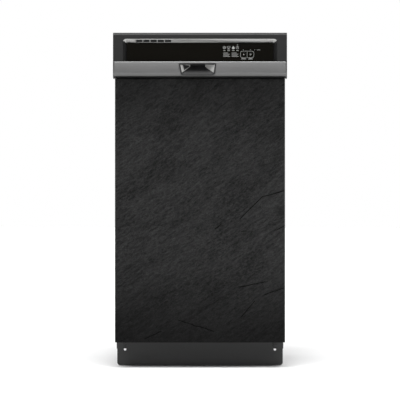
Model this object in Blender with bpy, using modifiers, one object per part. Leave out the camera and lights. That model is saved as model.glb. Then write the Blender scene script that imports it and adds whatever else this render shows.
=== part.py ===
"""Slim built-in dishwasher, 45 cm class, with a drop-down door, a recessed control panel and two racks.

Metres, +Z up. The origin is on the floor under the middle of the machine, and the front faces -Y.
Each object is one separate piece of the real machine. The empties stand on the joints' axes.
"""

import math

import bmesh
import bpy
from mathutils import Matrix, Vector

# ------------------------------------------------------------------ driving dimensions
OVERALL_HEIGHT = 0.865
OVERALL_DEPTH = 0.570
PANEL_WIDTH = 0.448
CABINET_WIDTH = 0.436
SHEET = 0.001
MOULDING = 0.003
CLEARANCE = 0.0004
ROUND_SIDES = 20

# Door: control panel on top, decor panel below it, steel tray and liner behind
CONTROL_HEIGHT = 0.1175
DOOR_DEPTH = 0.049
DOOR_BOTTOM = 0.067
DECOR_WIDTH = 0.438
DECOR_THICKNESS = 0.004
DECOR_SETBACK = 0.008
DOOR_TRAY_WIDTH = 0.437
DOOR_FLANGE = 0.020
LINER_WIDTH = 0.433
LINER_FLANGE = 0.022
HINGE_HEIGHT = 0.128
HINGE_INSET = 0.012
SEAL_GAP = 0.0045
SEAL_SHY = 0.001
SEAL_STEP = 0.002
CATCH_HALF_WIDTH = 0.030
CATCH_SLOT_HALF = 0.016
CATCH_DEPTH = 0.025
STRIKER_DROP = 0.0135
STRIKER_HALF_WIDTH = 0.012
STRIKER_REACH = 0.015

# Control panel's front: a bulged strip with the handle in it, and a window for the dark insert above
STRIP_HEIGHT = 0.0425
STRIP_PROUD = 0.006
STRIP_ROUND = 0.015
WINDOW_WIDTH = 0.397
WINDOW_TOP_MARGIN = 0.016
WINDOW_BEVEL = 0.0095
WINDOW_DEPTH = 0.009
INSERT_THICKNESS = 0.003
VENT_COUNT = 5
VENT_WIDTH = 0.0163
VENT_PITCH = 0.0185
VENT_FIRST_X = -0.1565
VENT_HEIGHT = 0.0056
BUTTON_RADIUS = 0.0055
BUTTON_TRAVEL = 0.0015
BUTTON_X = {"button_start": 0.113, "button_power": 0.130}
BUTTON_ABOVE_STRIP = 0.019
BUTTON_PROUD = 0.0008
BUTTON_COLLAR = 0.0075
COLLAR_THICKNESS = 0.002
BOARD_THICKNESS = 0.0016
BOARD_BELOW = 0.020
BOARD_ABOVE = 0.024
SWITCH_HALF = 0.003
SWITCH_HEIGHT = 0.0035

# Handle pocket in the strip
HANDLE_X = -0.006
HANDLE_TOP_WIDTH = 0.093
HANDLE_BOTTOM_WIDTH = 0.083
HANDLE_THROAT_WIDTH = 0.037
HANDLE_HEIGHT = 0.0275
HANDLE_THROAT_HEIGHT = 0.0052
HANDLE_BELOW_STRIP_TOP = 0.0062
HANDLE_RIM = 0.0013
THROAT_DEPTH = 0.0235
FINGER_WIDTH = 0.072
FINGER_HEIGHT = 0.026
LEVER_THICKNESS = 0.003
LEVER_DROP = 0.0057
GRIP_HOLE_DEPTH = 0.0165

# Cabinet
FOOT_EXTENSION = 0.045
BASE_HEIGHT = 0.0725
BASE_WALL = 0.0025
TOE_CLEARANCE = 0.007
TOE_WIDTH = 0.433
TOE_HEIGHT = 0.094
TOE_GROUND_GAP = 0.002
TOE_SLOT_X = 0.196
TOE_SLOT_Z = 0.050
TOE_SLOT_HALF_WIDTH = 0.0032
TOE_SLOT_HALF_HEIGHT = 0.010
TOE_SHEET = 0.0012
TOE_SCREW_RISE = 0.004
SCREW_HEAD = 0.0055
SCREW_SHANK = 0.0022
FOOT_SIDE_INSET = 0.033
FOOT_FRONT_INSET = 0.030
FOOT_REAR_INSET = 0.034
FOOT_RADIUS = 0.019
FOOT_STEM = 0.006
FOOT_TOP_GAP = 0.020
CASING_TOP_GAP = 0.003
SIDE_GAP = 0.023
TOP_GAP = 0.030
BACK_GAP = 0.027
TUB_CORNER = 0.014
TUB_FLANGE = 0.0125
TUB_LIP = 0.006
BASIN_WIDTH = 0.240
BASIN_END_MARGIN = 0.061
BASIN_SLOPE = 0.020
BASIN_DEPTH = 0.018
WHEEL_STEP = 0.0008
MOUTH_STEP = 0.0015
TOP_FLANGE = 0.014
FIX_HOLE_X = 0.190
FIX_HOLE_INSET = 0.014
VALVE_X = -0.120
VALVE_Z = 0.085
VALVE_THREAD = 0.0132
VALVE_THREAD_LENGTH = 0.030
VALVE_LENGTH = 0.060
VALVE_HALF_WIDTH = 0.018
VALVE_BORE = 0.009
GLAND_X = 0.150
GLAND_NECK = 0.009
GLAND_LIP = 0.003
GLAND_HEAD = 0.004

# Hinges
HINGE_FRAME_DEPTH = 0.055
EAR_THICKNESS = 0.002
EAR_HALF_HEIGHT = 0.008
ARM_THICKNESS = 0.002
ARM_LENGTH = 0.180
ARM_TAIL = 0.048
PIN_RADIUS = 0.004
PIN_CLEARANCE = 0.0005
ARM_GAP = 0.0007
ARM_HALF = 0.006
ARM_FRONT = 0.010
SPRING_LENGTH = 0.130
SPRING_RADIUS = 0.0052
SPRING_OUTSET = 0.0115
SPRING_STANDOFF = 0.003
HOOK_RADIUS = 0.0016
HOOK_LENGTH = 0.022

# Wash system
SUMP_X = 0.0
SUMP_Y = 0.010
SUMP_RADIUS = 0.060
SUMP_DEPTH = 0.058
SUMP_WALL = 0.0025
SUMP_RIM = 0.010
SUMP_TAPER = 0.80
FILTER_PLATE_LAP = 0.008
FILTER_PLATE_SHEET = 0.0014
HUB_Y = 0.035
HUB_RADIUS = 0.013
FILTER_Y = -0.012
FILTER_RADIUS = 0.024
FILTER_WALL = 0.003
FILTER_RISE = 0.008
FILTER_LIFT = 0.016
ARM_TIP_GAP = 0.034
SPRAY_ARM_WIDTH = 0.032
SPRAY_ARM_THICKNESS = 0.012
LOWER_ARM_RISE = 0.0245
ARM_TIP_TAPER = 0.55
BLADE_SHARE = 0.75
HUB_SHARE = 1.15
DUCT_HALF_WIDTH = 0.010
SPIGOT_LENGTH = 0.010
PIPE_RADIUS = 0.009
SALT_X = -0.066
SALT_Y = 0.130
SALT_NECK = 0.024
SALT_NECK_RISE = 0.002
SALT_PLUG_WALL = 0.004
SALT_CAP_LIP = 0.006
PUMP_X = 0.125
MOTOR_Y = -0.020
MOTOR_LENGTH = 0.090
MOTOR_SHARE = 0.92
VOLUTE_Y = 0.040
VOLUTE_WIDTH = 0.034
DRAIN_X = -0.105
DRAIN_MOTOR_Y = -0.060
DRAIN_MOTOR_RADIUS = 0.018
DRAIN_HEAD_Y = -0.024
DRAIN_HEAD_RADIUS = 0.023
TANK_INSET = 0.013
TANK_RIGHT = -0.055
TANK_FRONT = 0.082
TANK_REAR_GAP = 0.070

# Racks
WIRE = 0.0020
RIM_WIRE = 0.0030
RACK_FRONT_GAP = 0.031
RACK_REAR_GAP = 0.036
RACK_SIDE_GAP = 0.023
LOWER_FLOOR = 0.051
LOWER_DEPTH = 0.124
WHEEL_RADIUS = 0.016
WHEEL_WIDTH = 0.011
AXLE_RADIUS = 0.003
AXLE_CLEARANCE = 0.0004
WHEEL_FRONT_INSET = 0.050
WHEEL_REAR_INSET = 0.050
AXLE_INSET = 0.014
AXLE_SHOULDER = 0.005
AXLE_TAIL = 0.050
AXLE_BEND = 0.005
WHEEL_FLANGE = 0.003
UPPER_FLOOR = 0.500
UPPER_DEPTH = 0.110
RAIL_HEIGHT = 0.032
RAIL_DROP = 0.020
RAIL_WALL = 0.002
RAIL_REACH = 0.0135
RAIL_STANDOFF = 0.0015
RAIL_END_GAP = 0.004
RUNNER_GAP = 0.0012
RUNNER_LIP = 0.001
RUNNER_WEB = 0.004
TINE_HEIGHT = 0.075
TINE_COUNT = 6
TINE_FRONT_INSET = 0.060
TINE_REAR_INSET = 0.050
TINE_BAR_TAIL = 0.012
FIXED_TINE_X = 0.030
FOLD_TINE_X = -0.050
LOWER_ALONG = 4
LOWER_ACROSS = 5
UPPER_ALONG = 4
UPPER_ACROSS = 4
WIRE_BEND = 0.010
RIM_CORNER = 0.022
ACROSS_INSET = 0.035
ALONG_SHARE = 0.78
BASKET_WIDTH = 0.072
BASKET_LENGTH = 0.215
BASKET_WALL = 0.002
BASKET_RIM_DROP = 0.004
DIVIDER_SINK = 0.0012
BAIL_SINK = 0.0014
BAIL_WIDTH = 0.0084
BAIL_RISE = 0.040
BAIL_BAND = 0.006
BAIL_FOOT = 0.010
CUP_SHELF_REACH = 0.062
CUP_SHELF_DROP = 0.028
CUP_SHELF_INSET = 0.075
CUP_SHELF_BARS = 5
CUP_SHELF_GAP = 0.004

# Detergent dispenser in the door
DISPENSER_X = -0.005
DISPENSER_Z = 0.440
DISPENSER_WIDTH = 0.160
DISPENSER_HEIGHT = 0.110
DISPENSER_DEPTH = 0.024
DISPENSER_RIM = 0.007
DISPENSER_FACE = 0.002
LID_WIDTH = 0.070
LID_HEIGHT = 0.052
LID_THICKNESS = 0.004
LID_INSET = 0.010
LID_RISE = 0.004
CUP_RIM = 0.005
CAP_RADIUS = 0.020
CAP_INSET = 0.012
CAP_THICKNESS = 0.0042
CAP_CHAMFER = 0.0015
CAP_EDGE = 0.003
CAP_GRIP = 0.75

# ------------------------------------------------------------------ planes that follow from them
FRONT = -OVERALL_DEPTH / 2
BACK = OVERALL_DEPTH / 2
PANEL_BOTTOM = OVERALL_HEIGHT - CONTROL_HEIGHT
STRIP_TOP = PANEL_BOTTOM + STRIP_HEIGHT
WINDOW_TOP = OVERALL_HEIGHT - WINDOW_TOP_MARGIN
UPPER_FACE = FRONT + STRIP_PROUD
WINDOW_FLOOR = UPPER_FACE + WINDOW_DEPTH
DOOR_REAR = FRONT + DOOR_DEPTH
DECOR_FRONT = FRONT + DECOR_SETBACK
TRAY_FRONT = DECOR_FRONT + DECOR_THICKNESS + CLEARANCE
TRAY_TOP = PANEL_BOTTOM - CLEARANCE
LINER_TOP = OVERALL_HEIGHT - MOULDING - CLEARANCE
HINGE_Y = DOOR_REAR - HINGE_INSET
CABINET_FRONT = DOOR_REAR + SEAL_GAP
HINGE_FRAME_REAR = CABINET_FRONT + HINGE_FRAME_DEPTH
WINDOW_SILL = STRIP_TOP + 0.0008
STRIKER_Z = OVERALL_HEIGHT - STRIKER_DROP
DISPENSER_PLATE = DOOR_REAR + CLEARANCE + DISPENSER_FACE
HALF = CABINET_WIDTH / 2
FOOT_X = HALF - FOOT_SIDE_INSET
TUB_HALF = HALF - SIDE_GAP
TUB_INNER = TUB_HALF - SHEET
ARM_SWEEP = TUB_INNER - ARM_TIP_GAP
FLOOR = HINGE_HEIGHT + HINGE_INSET + WHEEL_STEP
TUB_TOP = OVERALL_HEIGHT - TOP_GAP
TUB_BACK = BACK - BACK_GAP
BASIN_FLOOR = FLOOR - BASIN_DEPTH
BASE_TOP = FOOT_EXTENSION + BASE_HEIGHT
SWEEP = HINGE_HEIGHT - DOOR_BOTTOM
TOE_FRONT = HINGE_Y + SWEEP + TOE_CLEARANCE
BASE_FRONT = TOE_FRONT + 0.004
RACK_FRONT = DOOR_REAR + RACK_FRONT_GAP
RACK_REAR = TUB_BACK - RACK_REAR_GAP
LOWER_HALF = TUB_HALF - RACK_SIDE_GAP
UPPER_HALF = LOWER_HALF - 0.007
LOWER_Z = FLOOR + LOWER_FLOOR
LOWER_RIM = LOWER_Z + LOWER_DEPTH
UPPER_RIM = UPPER_FLOOR + UPPER_DEPTH
LOWER_ARM_Z = FLOOR + LOWER_ARM_RISE
RAIL_TOP = UPPER_RIM - 0.004
HANDLE_TOP = STRIP_TOP - HANDLE_BELOW_STRIP_TOP
THROAT_Y = FRONT + THROAT_DEPTH
FINGER_REAR = DOOR_REAR - 0.0095
LINER_INSIDE = DOOR_REAR - SHEET
SPRAY_DUCT_TOP = UPPER_FLOOR - WIRE - 0.004
SPRAY_DUCT = 0.012
FEET = {
    "foot_front_left": (-FOOT_X, BASE_FRONT + FOOT_FRONT_INSET),
    "foot_front_right": (FOOT_X, BASE_FRONT + FOOT_FRONT_INSET),
    "foot_rear_left": (-FOOT_X, BACK - FOOT_REAR_INSET),
    "foot_rear_right": (FOOT_X, BACK - FOOT_REAR_INSET),
}

# ------------------------------------------------------------------ finishes
# colour, roughness, metallic
FINISHES = {
    "dark_steel": ((0.12, 0.12, 0.12), 0.38, 0.8),
    "slate": ((0.030, 0.030, 0.030), 0.72, 0.0),
    "gloss_black": ((0.010, 0.010, 0.008), 0.18, 0.0),
    "black_plastic": ((0.018, 0.018, 0.018), 0.50, 0.0),
    "toe_black": ((0.022, 0.022, 0.022), 0.55, 0.0),
    "stainless": ((0.60, 0.60, 0.60), 0.28, 1.0),
    "galvanised": ((0.50, 0.51, 0.52), 0.45, 0.9),
    "grey_plastic": ((0.35, 0.36, 0.37), 0.50, 0.0),
    "coated_wire": ((0.42, 0.44, 0.47), 0.40, 0.0),
    "rubber": ((0.03, 0.03, 0.03), 0.80, 0.0),
    "circuit_green": ((0.02, 0.16, 0.06), 0.45, 0.0),
}


# ------------------------------------------------------------------ tools
def clear_scene():
    for old in list(bpy.data.objects):
        bpy.data.objects.remove(old, do_unlink=True)


def new_collection(name):
    made = bpy.data.collections.new(name)
    bpy.context.scene.collection.children.link(made)
    return made


def finish_of(name):
    made = bpy.data.materials.get(name)
    if made is None:
        colour, roughness, metallic = FINISHES[name]
        made = bpy.data.materials.new(name)
        made.use_nodes = True
        shader = made.node_tree.nodes["Principled BSDF"]
        shader.inputs["Base Color"].default_value = (*colour, 1.0)
        shader.inputs["Roughness"].default_value = roughness
        shader.inputs["Metallic"].default_value = metallic
    return made


def add_object(name, mesh, finish):
    obj = bpy.data.objects.new(name, mesh)
    if finish:
        obj.data.materials.append(finish_of(finish))
    parts.objects.link(obj)
    return obj


def mesh_from(bm, name):
    bmesh.ops.recalc_face_normals(bm, faces=bm.faces)
    mesh = bpy.data.meshes.new(name)
    bm.to_mesh(mesh)
    bm.free()
    mesh.shade_smooth()
    mesh.set_sharp_from_angle(angle=math.radians(32))
    return mesh


def evaluated_mesh(obj, name):
    """The object's mesh in world space with its modifiers applied and a curve's loose caps welded."""
    bpy.context.view_layer.update()
    graph = bpy.context.evaluated_depsgraph_get()
    mesh = bpy.data.meshes.new_from_object(obj.evaluated_get(graph))
    mesh.transform(obj.matrix_world)
    bm = bmesh.new()
    bm.from_mesh(mesh)
    bmesh.ops.remove_doubles(bm, verts=bm.verts, dist=1e-6)
    bpy.data.meshes.remove(mesh)
    return mesh_from(bm, name)


def box(name, x, y, z, finish=None, round_edges=0.0, segments=2):
    """A block between two corners. x, y and z are (low, high)."""
    bm = bmesh.new()
    middle = Vector(((x[0] + x[1]) / 2, (y[0] + y[1]) / 2, (z[0] + z[1]) / 2))
    size = Matrix.Diagonal((x[1] - x[0], y[1] - y[0], z[1] - z[0], 1.0))
    bmesh.ops.create_cube(bm, size=1.0, matrix=Matrix.Translation(middle) @ size)
    obj = add_object(name, mesh_from(bm, name), finish)
    if round_edges:
        bevel = obj.modifiers.new("Bevel", "BEVEL")
        bevel.width = round_edges
        bevel.segments = segments
    return obj


def toward(axis):
    """The rotation that turns +Z to the axis named "x", "y" or "z"."""
    ends = {"x": Vector((1, 0, 0)), "y": Vector((0, 1, 0)), "z": Vector((0, 0, 1))}
    return Vector((0, 0, 1)).rotation_difference(ends[axis]).to_matrix().to_4x4()


def cylinder(name, radius, middle, length, axis, finish=None, sides=ROUND_SIDES):
    bm = bmesh.new()
    bmesh.ops.create_cone(
        bm, cap_ends=True, segments=sides, radius1=radius, radius2=radius, depth=length,
        matrix=Matrix.Translation(middle) @ toward(axis),
    )
    return add_object(name, mesh_from(bm, name), finish)


def turned(name, profile, middle, axis, finish=None, sides=ROUND_SIDES):
    """A turned piece. The profile is (radius, height) pairs, from the top on the axis to the bottom."""
    bm = bmesh.new()
    rim = [bm.verts.new((radius, 0.0, height)) for radius, height in profile]
    for a, b in zip(rim, rim[1:]):
        bm.edges.new((a, b))
    mesh = bpy.data.meshes.new(name)
    bm.to_mesh(mesh)
    bm.free()
    obj = add_object(name, mesh, finish)
    screw = obj.modifiers.new("Screw", "SCREW")
    screw.steps = screw.render_steps = sides
    screw.use_merge_vertices = True
    screw.merge_threshold = 1e-6
    obj.matrix_world = Matrix.Translation(middle) @ toward(axis)
    solid = evaluated_mesh(obj, name)
    bpy.data.objects.remove(obj)
    return add_object(name, solid, finish)


def rounded(corners, segments=3):
    """Outline points from (u, v, radius) corners, each corner turned into an arc of its radius."""
    points = []
    count = len(corners)
    for i, (u, v, radius) in enumerate(corners):
        here = Vector((u, v))
        if not radius:
            points.append(here)
            continue
        before = (Vector(corners[i - 1][:2]) - here).normalized()
        after = (Vector(corners[(i + 1) % count][:2]) - here).normalized()
        half_angle = before.angle(after) / 2
        start = here + before * (radius / math.tan(half_angle))
        end = here + after * (radius / math.tan(half_angle))
        centre = here + (before + after).normalized() * (radius / math.sin(half_angle))
        first = math.atan2(*(start - centre).yx)
        swept = (math.atan2(*(end - centre).yx) - first + math.pi) % (2 * math.pi) - math.pi
        for k in range(segments + 1):
            angle = first + swept * k / segments
            points.append(centre + radius * Vector((math.cos(angle), math.sin(angle))))
    return points


PLANES = {
    "x": Matrix(((0, 0, 1, 0), (1, 0, 0, 0), (0, 1, 0, 0), (0, 0, 0, 1))),
    "y": Matrix(((1, 0, 0, 0), (0, 0, 1, 0), (0, 1, 0, 0), (0, 0, 0, 1))),
    "z": Matrix.Identity(4),
}


def plate(name, outline, axis, low, high, finish=None):
    """A flat outline made solid from low to high along an axis.

    The outline's pairs are (y, z) for axis x, (x, z) for axis y and (x, y) for axis z."""
    curve = bpy.data.curves.new(name, "CURVE")
    curve.dimensions = "2D"
    curve.fill_mode = "BOTH"
    curve.extrude = (high - low) / 2
    spline = curve.splines.new("POLY")
    spline.points.add(len(outline) - 1)
    for point, (u, v) in zip(spline.points, outline):
        point.co = (u, v, 0.0, 1.0)
    spline.use_cyclic_u = True
    obj = add_object(name, curve, None)
    lift = Matrix.Translation((0, 0, (low + high) / 2))
    obj.matrix_world = PLANES[axis] @ lift
    solid = evaluated_mesh(obj, name)
    bpy.data.objects.remove(obj)
    return add_object(name, solid, finish)


def tray(name, x, y, z, open_face, thickness, finish):
    """A box of sheet with one face missing, the sheet growing inwards. open_face is like "+z"."""
    bm = bmesh.new()
    middle = Vector(((x[0] + x[1]) / 2, (y[0] + y[1]) / 2, (z[0] + z[1]) / 2))
    size = Matrix.Diagonal((x[1] - x[0], y[1] - y[0], z[1] - z[0], 1.0))
    bmesh.ops.create_cube(bm, size=1.0, matrix=Matrix.Translation(middle) @ size)
    bmesh.ops.recalc_face_normals(bm, faces=bm.faces)
    index = "xyz".index(open_face[1])
    sign = 1 if open_face[0] == "+" else -1
    missing = [f for f in bm.faces if f.normal[index] * sign > 0.9]
    bmesh.ops.delete(bm, geom=missing, context="FACES_ONLY")
    mesh = bpy.data.meshes.new(name)
    bm.to_mesh(mesh)
    bm.free()
    obj = add_object(name, mesh, finish)
    solidify = obj.modifiers.new("Solidify", "SOLIDIFY")
    solidify.thickness = thickness
    solidify.offset = -1.0
    solidify.use_even_offset = True
    return obj


def bent(points, bend, segments=1):
    """The path with each inner corner turned into a bend that starts and ends that far from it."""
    path = [Vector(points[0])]
    for before, here, after in zip(points, points[1:], points[2:]):
        here = Vector(here)
        start = here + (Vector(before) - here).normalized() * bend
        end = here + (Vector(after) - here).normalized() * bend
        for k in range(segments + 1):
            t = k / segments
            path.append(start * (1 - t) ** 2 + here * 2 * t * (1 - t) + end * t ** 2)
    path.append(Vector(points[-1]))
    return path


def wire(points, radius, name="wire", resolution=1):
    """A wire through the points, as a mesh with welded caps."""
    curve = bpy.data.curves.new(name, "CURVE")
    curve.dimensions = "3D"
    curve.bevel_depth = radius
    curve.bevel_resolution = resolution
    curve.use_fill_caps = True
    spline = curve.splines.new("POLY")
    spline.points.add(len(points) - 1)
    for point, place in zip(spline.points, points):
        point.co = (*place, 1.0)
    obj = add_object(name, curve, None)
    solid = evaluated_mesh(obj, name)
    bpy.data.objects.remove(obj)
    return add_object(name, solid, None)


def ring_wire(corners, radius):
    """A closed wire ring through the corners."""
    curve = bpy.data.curves.new("ring", "CURVE")
    curve.dimensions = "3D"
    curve.bevel_depth = radius
    curve.bevel_resolution = 1
    spline = curve.splines.new("POLY")
    spline.points.add(len(corners) - 1)
    for point, place in zip(spline.points, corners):
        point.co = (*place, 1.0)
    spline.use_cyclic_u = True
    obj = add_object("ring", curve, None)
    solid = evaluated_mesh(obj, "ring")
    bpy.data.objects.remove(obj)
    return add_object("ring", solid, None)


def fuse(name, pieces, finish):
    """One solid from overlapping pieces, by a Boolean union."""
    base = pieces[0]
    bm = bmesh.new()
    for piece in pieces[1:]:
        solid = evaluated_mesh(piece, "operand")
        bm.from_mesh(solid)
        bpy.data.meshes.remove(solid)
    others = add_object("operand", mesh_from(bm, "operand"), None)
    union = base.modifiers.new("Union", "BOOLEAN")
    union.operation = "UNION"
    union.solver = "EXACT"
    union.use_self = True
    union.object = others
    joined = evaluated_mesh(base, name)
    joined.materials.clear()
    for piece in [*pieces, others]:
        bpy.data.objects.remove(piece)
    return add_object(name, joined, finish)


def cut(obj, *tools):
    """Each tool is taken out of obj. The tools stay as hidden cutters that go where obj goes."""
    obj.data.shade_flat()
    for tool in tools:
        parts.objects.unlink(tool)
        cutters.objects.link(tool)
        tool.name = f"cutter_{obj.name}_{len(cutters.objects)}"
        tool.hide_render = True
        tool.display_type = "WIRE"
        tool.parent = obj
        difference = obj.modifiers.new("Cut", "BOOLEAN")
        difference.operation = "DIFFERENCE"
        difference.solver = "EXACT"
        difference.object = tool
    return obj


def on_joint(name, pivot, *objects):
    """An empty on the joint's axis that carries the objects."""
    empty = bpy.data.objects.new(name, None)
    empty.empty_display_size = 0.02
    parts.objects.link(empty)
    empty.location = pivot
    for obj in objects:
        obj.parent = empty
        obj.matrix_parent_inverse = Matrix.Translation(-Vector(pivot))
    return empty


def sides():
    return (("left", -1), ("right", 1))


# ------------------------------------------------------------------ cabinet
def build_base():
    base = tray(
        "base_tray", (-HALF, HALF), (BASE_FRONT, BACK), (FOOT_EXTENSION, BASE_TOP), "+z", BASE_WALL,
        "black_plastic",
    )
    for x, y in FEET.values():
        cut(
            base,
            cylinder(
                "hole", FOOT_STEM + PIN_CLEARANCE, (x, y, FOOT_EXTENSION), 0.02, "z", sides=16,
            ),
        )
    for side, sign in sides():
        screw_hole = cylinder(
            "hole", 0.0026, (sign * TOE_SLOT_X, BASE_FRONT, TOE_SLOT_Z + TOE_SCREW_RISE), 0.02, "y",
            sides=12,
        )
        cut(base, screw_hole)
    cut(base, cylinder("hole", VALVE_THREAD + CLEARANCE, (VALVE_X, BACK, VALVE_Z), 0.02, "y"))
    cut(base, cylinder("hole", GLAND_NECK + CLEARANCE, (GLAND_X, BACK, VALVE_Z), 0.02, "y"))
    return base


def build_service_ports():
    """The water inlet valve with its three-quarter inch thread, and the mains lead's gland."""
    valve_front = BACK - VALVE_LENGTH
    body = box(
        "body", (VALVE_X - VALVE_HALF_WIDTH, VALVE_X + VALVE_HALF_WIDTH),
        (valve_front, BACK - 0.020), (VALVE_Z - 0.02, VALVE_Z + 0.03),
    )
    thread = cylinder(
        "thread", VALVE_THREAD, (VALVE_X, BACK - 0.0155, VALVE_Z), VALVE_THREAD_LENGTH, "y",
    )
    valve = fuse("inlet_valve", [body, thread], "grey_plastic")
    cut(
        valve,
        cylinder("bore", VALVE_BORE, (VALVE_X, BACK, VALVE_Z), VALVE_THREAD_LENGTH, "y", sides=16),
    )
    outer = BACK - CLEARANCE
    inner = BACK - BASE_WALL - CLEARANCE
    gland = turned(
        "power_inlet",
        [
            (0.0, inner - GLAND_HEAD), (GLAND_NECK + GLAND_LIP, inner - GLAND_HEAD),
            (GLAND_NECK + GLAND_LIP, inner), (GLAND_NECK, inner), (GLAND_NECK, outer), (0.0, outer),
        ][::-1],
        (GLAND_X, 0, VALVE_Z), "y", "rubber",
    )
    return valve, gland


def build_feet():
    feet = {}
    for name, (x, y) in FEET.items():
        top = BASE_TOP - FOOT_TOP_GAP
        foot = turned(
            name,
            [
                (0.0, top), (FOOT_STEM, top), (FOOT_STEM, 0.012), (FOOT_RADIUS * 0.75, 0.010),
                (FOOT_RADIUS, 0.004), (FOOT_RADIUS, 0.0), (0.0, 0.0),
            ],
            (x, y, 0.0), "z", "black_plastic", sides=16,
        )
        feet[name] = foot
        on_joint(f"{name}_thread", (x, y, 0.0), foot)
    return feet


def build_casing():
    """Side, back and top sheets. The sides' lower front corners make room for the door's lower edge."""
    low = BASE_TOP + CLEARANCE
    front_low = HINGE_HEIGHT + 0.004
    front = CABINET_FRONT + MOUTH_STEP
    notch = TOE_FRONT - 0.003
    top = OVERALL_HEIGHT - CASING_TOP_GAP
    outline = [
        (front, front_low), (notch, front_low), (notch, low), (BACK - 0.001, low),
        (BACK - 0.001, top), (front, top),
    ]
    for side, sign in sides():
        ends = sorted((sign * HALF, sign * (HALF - SHEET)))
        plate(f"side_panel_{side}", outline, "x", *ends, "galvanised")
    inside = HALF - SHEET - CLEARANCE
    box(
        "back_panel", (-inside, inside), (BACK - 0.0015, BACK - 0.0005), (low, top - 0.002),
        "galvanised",
    )
    top_panel = tray(
        "top_panel", (-inside, inside), (CABINET_FRONT + SHEET, BACK - 0.003),
        (top - TOP_FLANGE, top + 0.0015), "-z", SHEET, "galvanised",
    )
    for side, sign in sides():
        hole = cylinder(
            "hole", 0.0025, (sign * FIX_HOLE_X, CABINET_FRONT + FIX_HOLE_INSET, top), 0.02, "z",
            sides=12,
        )
        cut(top_panel, hole)


def build_tub():
    """The stainless tub: a drawn box open at the front, with a flanged mouth and a basin."""
    low = FLOOR - SHEET
    corner = TUB_CORNER
    outline = rounded([(-TUB_HALF, low, corner), (TUB_HALF, low, corner), (TUB_HALF, TUB_TOP, corner),
                       (-TUB_HALF, TUB_TOP, corner)])
    bm = bmesh.new()
    mouth = [bm.verts.new((u, CABINET_FRONT, v)) for u, v in outline]
    face = bm.faces.new(mouth)
    grown = bmesh.ops.extrude_face_region(bm, geom=[face])
    far = [g for g in grown["geom"] if isinstance(g, bmesh.types.BMVert)]
    bmesh.ops.translate(bm, verts=far, vec=(0, TUB_BACK - CABINET_FRONT, 0))
    bmesh.ops.recalc_face_normals(bm, faces=bm.faces)
    bm.faces.ensure_lookup_table()
    front = [f for f in bm.faces if f.normal.y < -0.9]
    bmesh.ops.delete(bm, geom=front, context="FACES_ONLY")
    floor = [f for f in bm.faces if f.normal.z < -0.99]
    bmesh.ops.inset_region(
        bm, faces=floor, thickness=BASIN_END_MARGIN, use_boundary=True, use_even_offset=True,
    )
    floor = [f for f in bm.faces if f.normal.z < -0.99 and abs(f.calc_center_median().x) < 0.01
             and abs(f.calc_center_median().y - (CABINET_FRONT + TUB_BACK) / 2) < 0.02]
    floor.sort(key=lambda f: f.calc_area())
    basin = floor[-1]
    for vert in basin.verts:
        vert.co.x = math.copysign(BASIN_WIDTH / 2, vert.co.x)
    bmesh.ops.inset_region(
        bm, faces=[basin], thickness=BASIN_SLOPE, use_boundary=True, use_even_offset=True,
    )
    bmesh.ops.translate(bm, verts=basin.verts, vec=(0, 0, -BASIN_DEPTH))
    rim = [e for e in bm.edges if e.is_boundary]
    lip = bmesh.ops.extrude_edge_only(bm, edges=rim)
    for vert in (g for g in lip["geom"] if isinstance(g, bmesh.types.BMVert)):
        below = vert.co.z < (low + TUB_TOP) / 2
        vert.co.x += math.copysign(TUB_FLANGE, vert.co.x)
        vert.co.z += -TUB_LIP if below else TUB_FLANGE
    mesh = bpy.data.meshes.new("tub")
    bm.to_mesh(mesh)
    bm.free()
    mesh.shade_smooth()
    mesh.set_sharp_from_angle(angle=math.radians(32))
    tub = add_object("tub", mesh, "stainless")
    solidify = tub.modifiers.new("Solidify", "SOLIDIFY")
    solidify.thickness = SHEET
    solidify.offset = -1.0
    solidify.use_even_offset = True
    drain = cylinder("hole", SUMP_RADIUS, (SUMP_X, SUMP_Y, BASIN_FLOOR), 0.02, "z", sides=28)
    neck = cylinder("hole", SALT_NECK + 0.0008, (SALT_X, SALT_Y, BASIN_FLOOR), 0.02, "z")
    return cut(tub, drain, neck)


def build_gasket():
    """The door seal: a rubber strip on the tub's flange, up both sides and across the top."""
    outer = TUB_HALF + TUB_FLANGE - SEAL_SHY
    inner = TUB_HALF + SEAL_STEP
    low = FLOOR + 0.004
    top_outer = TUB_TOP + TUB_FLANGE - SEAL_SHY
    top_inner = TUB_TOP + SEAL_STEP
    outline = rounded(
        [
            (-outer, low, 0), (-inner, low, 0), (-inner, top_inner, TUB_CORNER),
            (inner, top_inner, TUB_CORNER), (inner, low, 0), (outer, low, 0),
            (outer, top_outer, TUB_CORNER + 0.009), (-outer, top_outer, TUB_CORNER + 0.009),
        ]
    )
    plate(
        "door_gasket", outline, "y", DOOR_REAR + CLEARANCE, CABINET_FRONT - 1.2 * SHEET - CLEARANCE,
        "rubber",
    )


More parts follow.
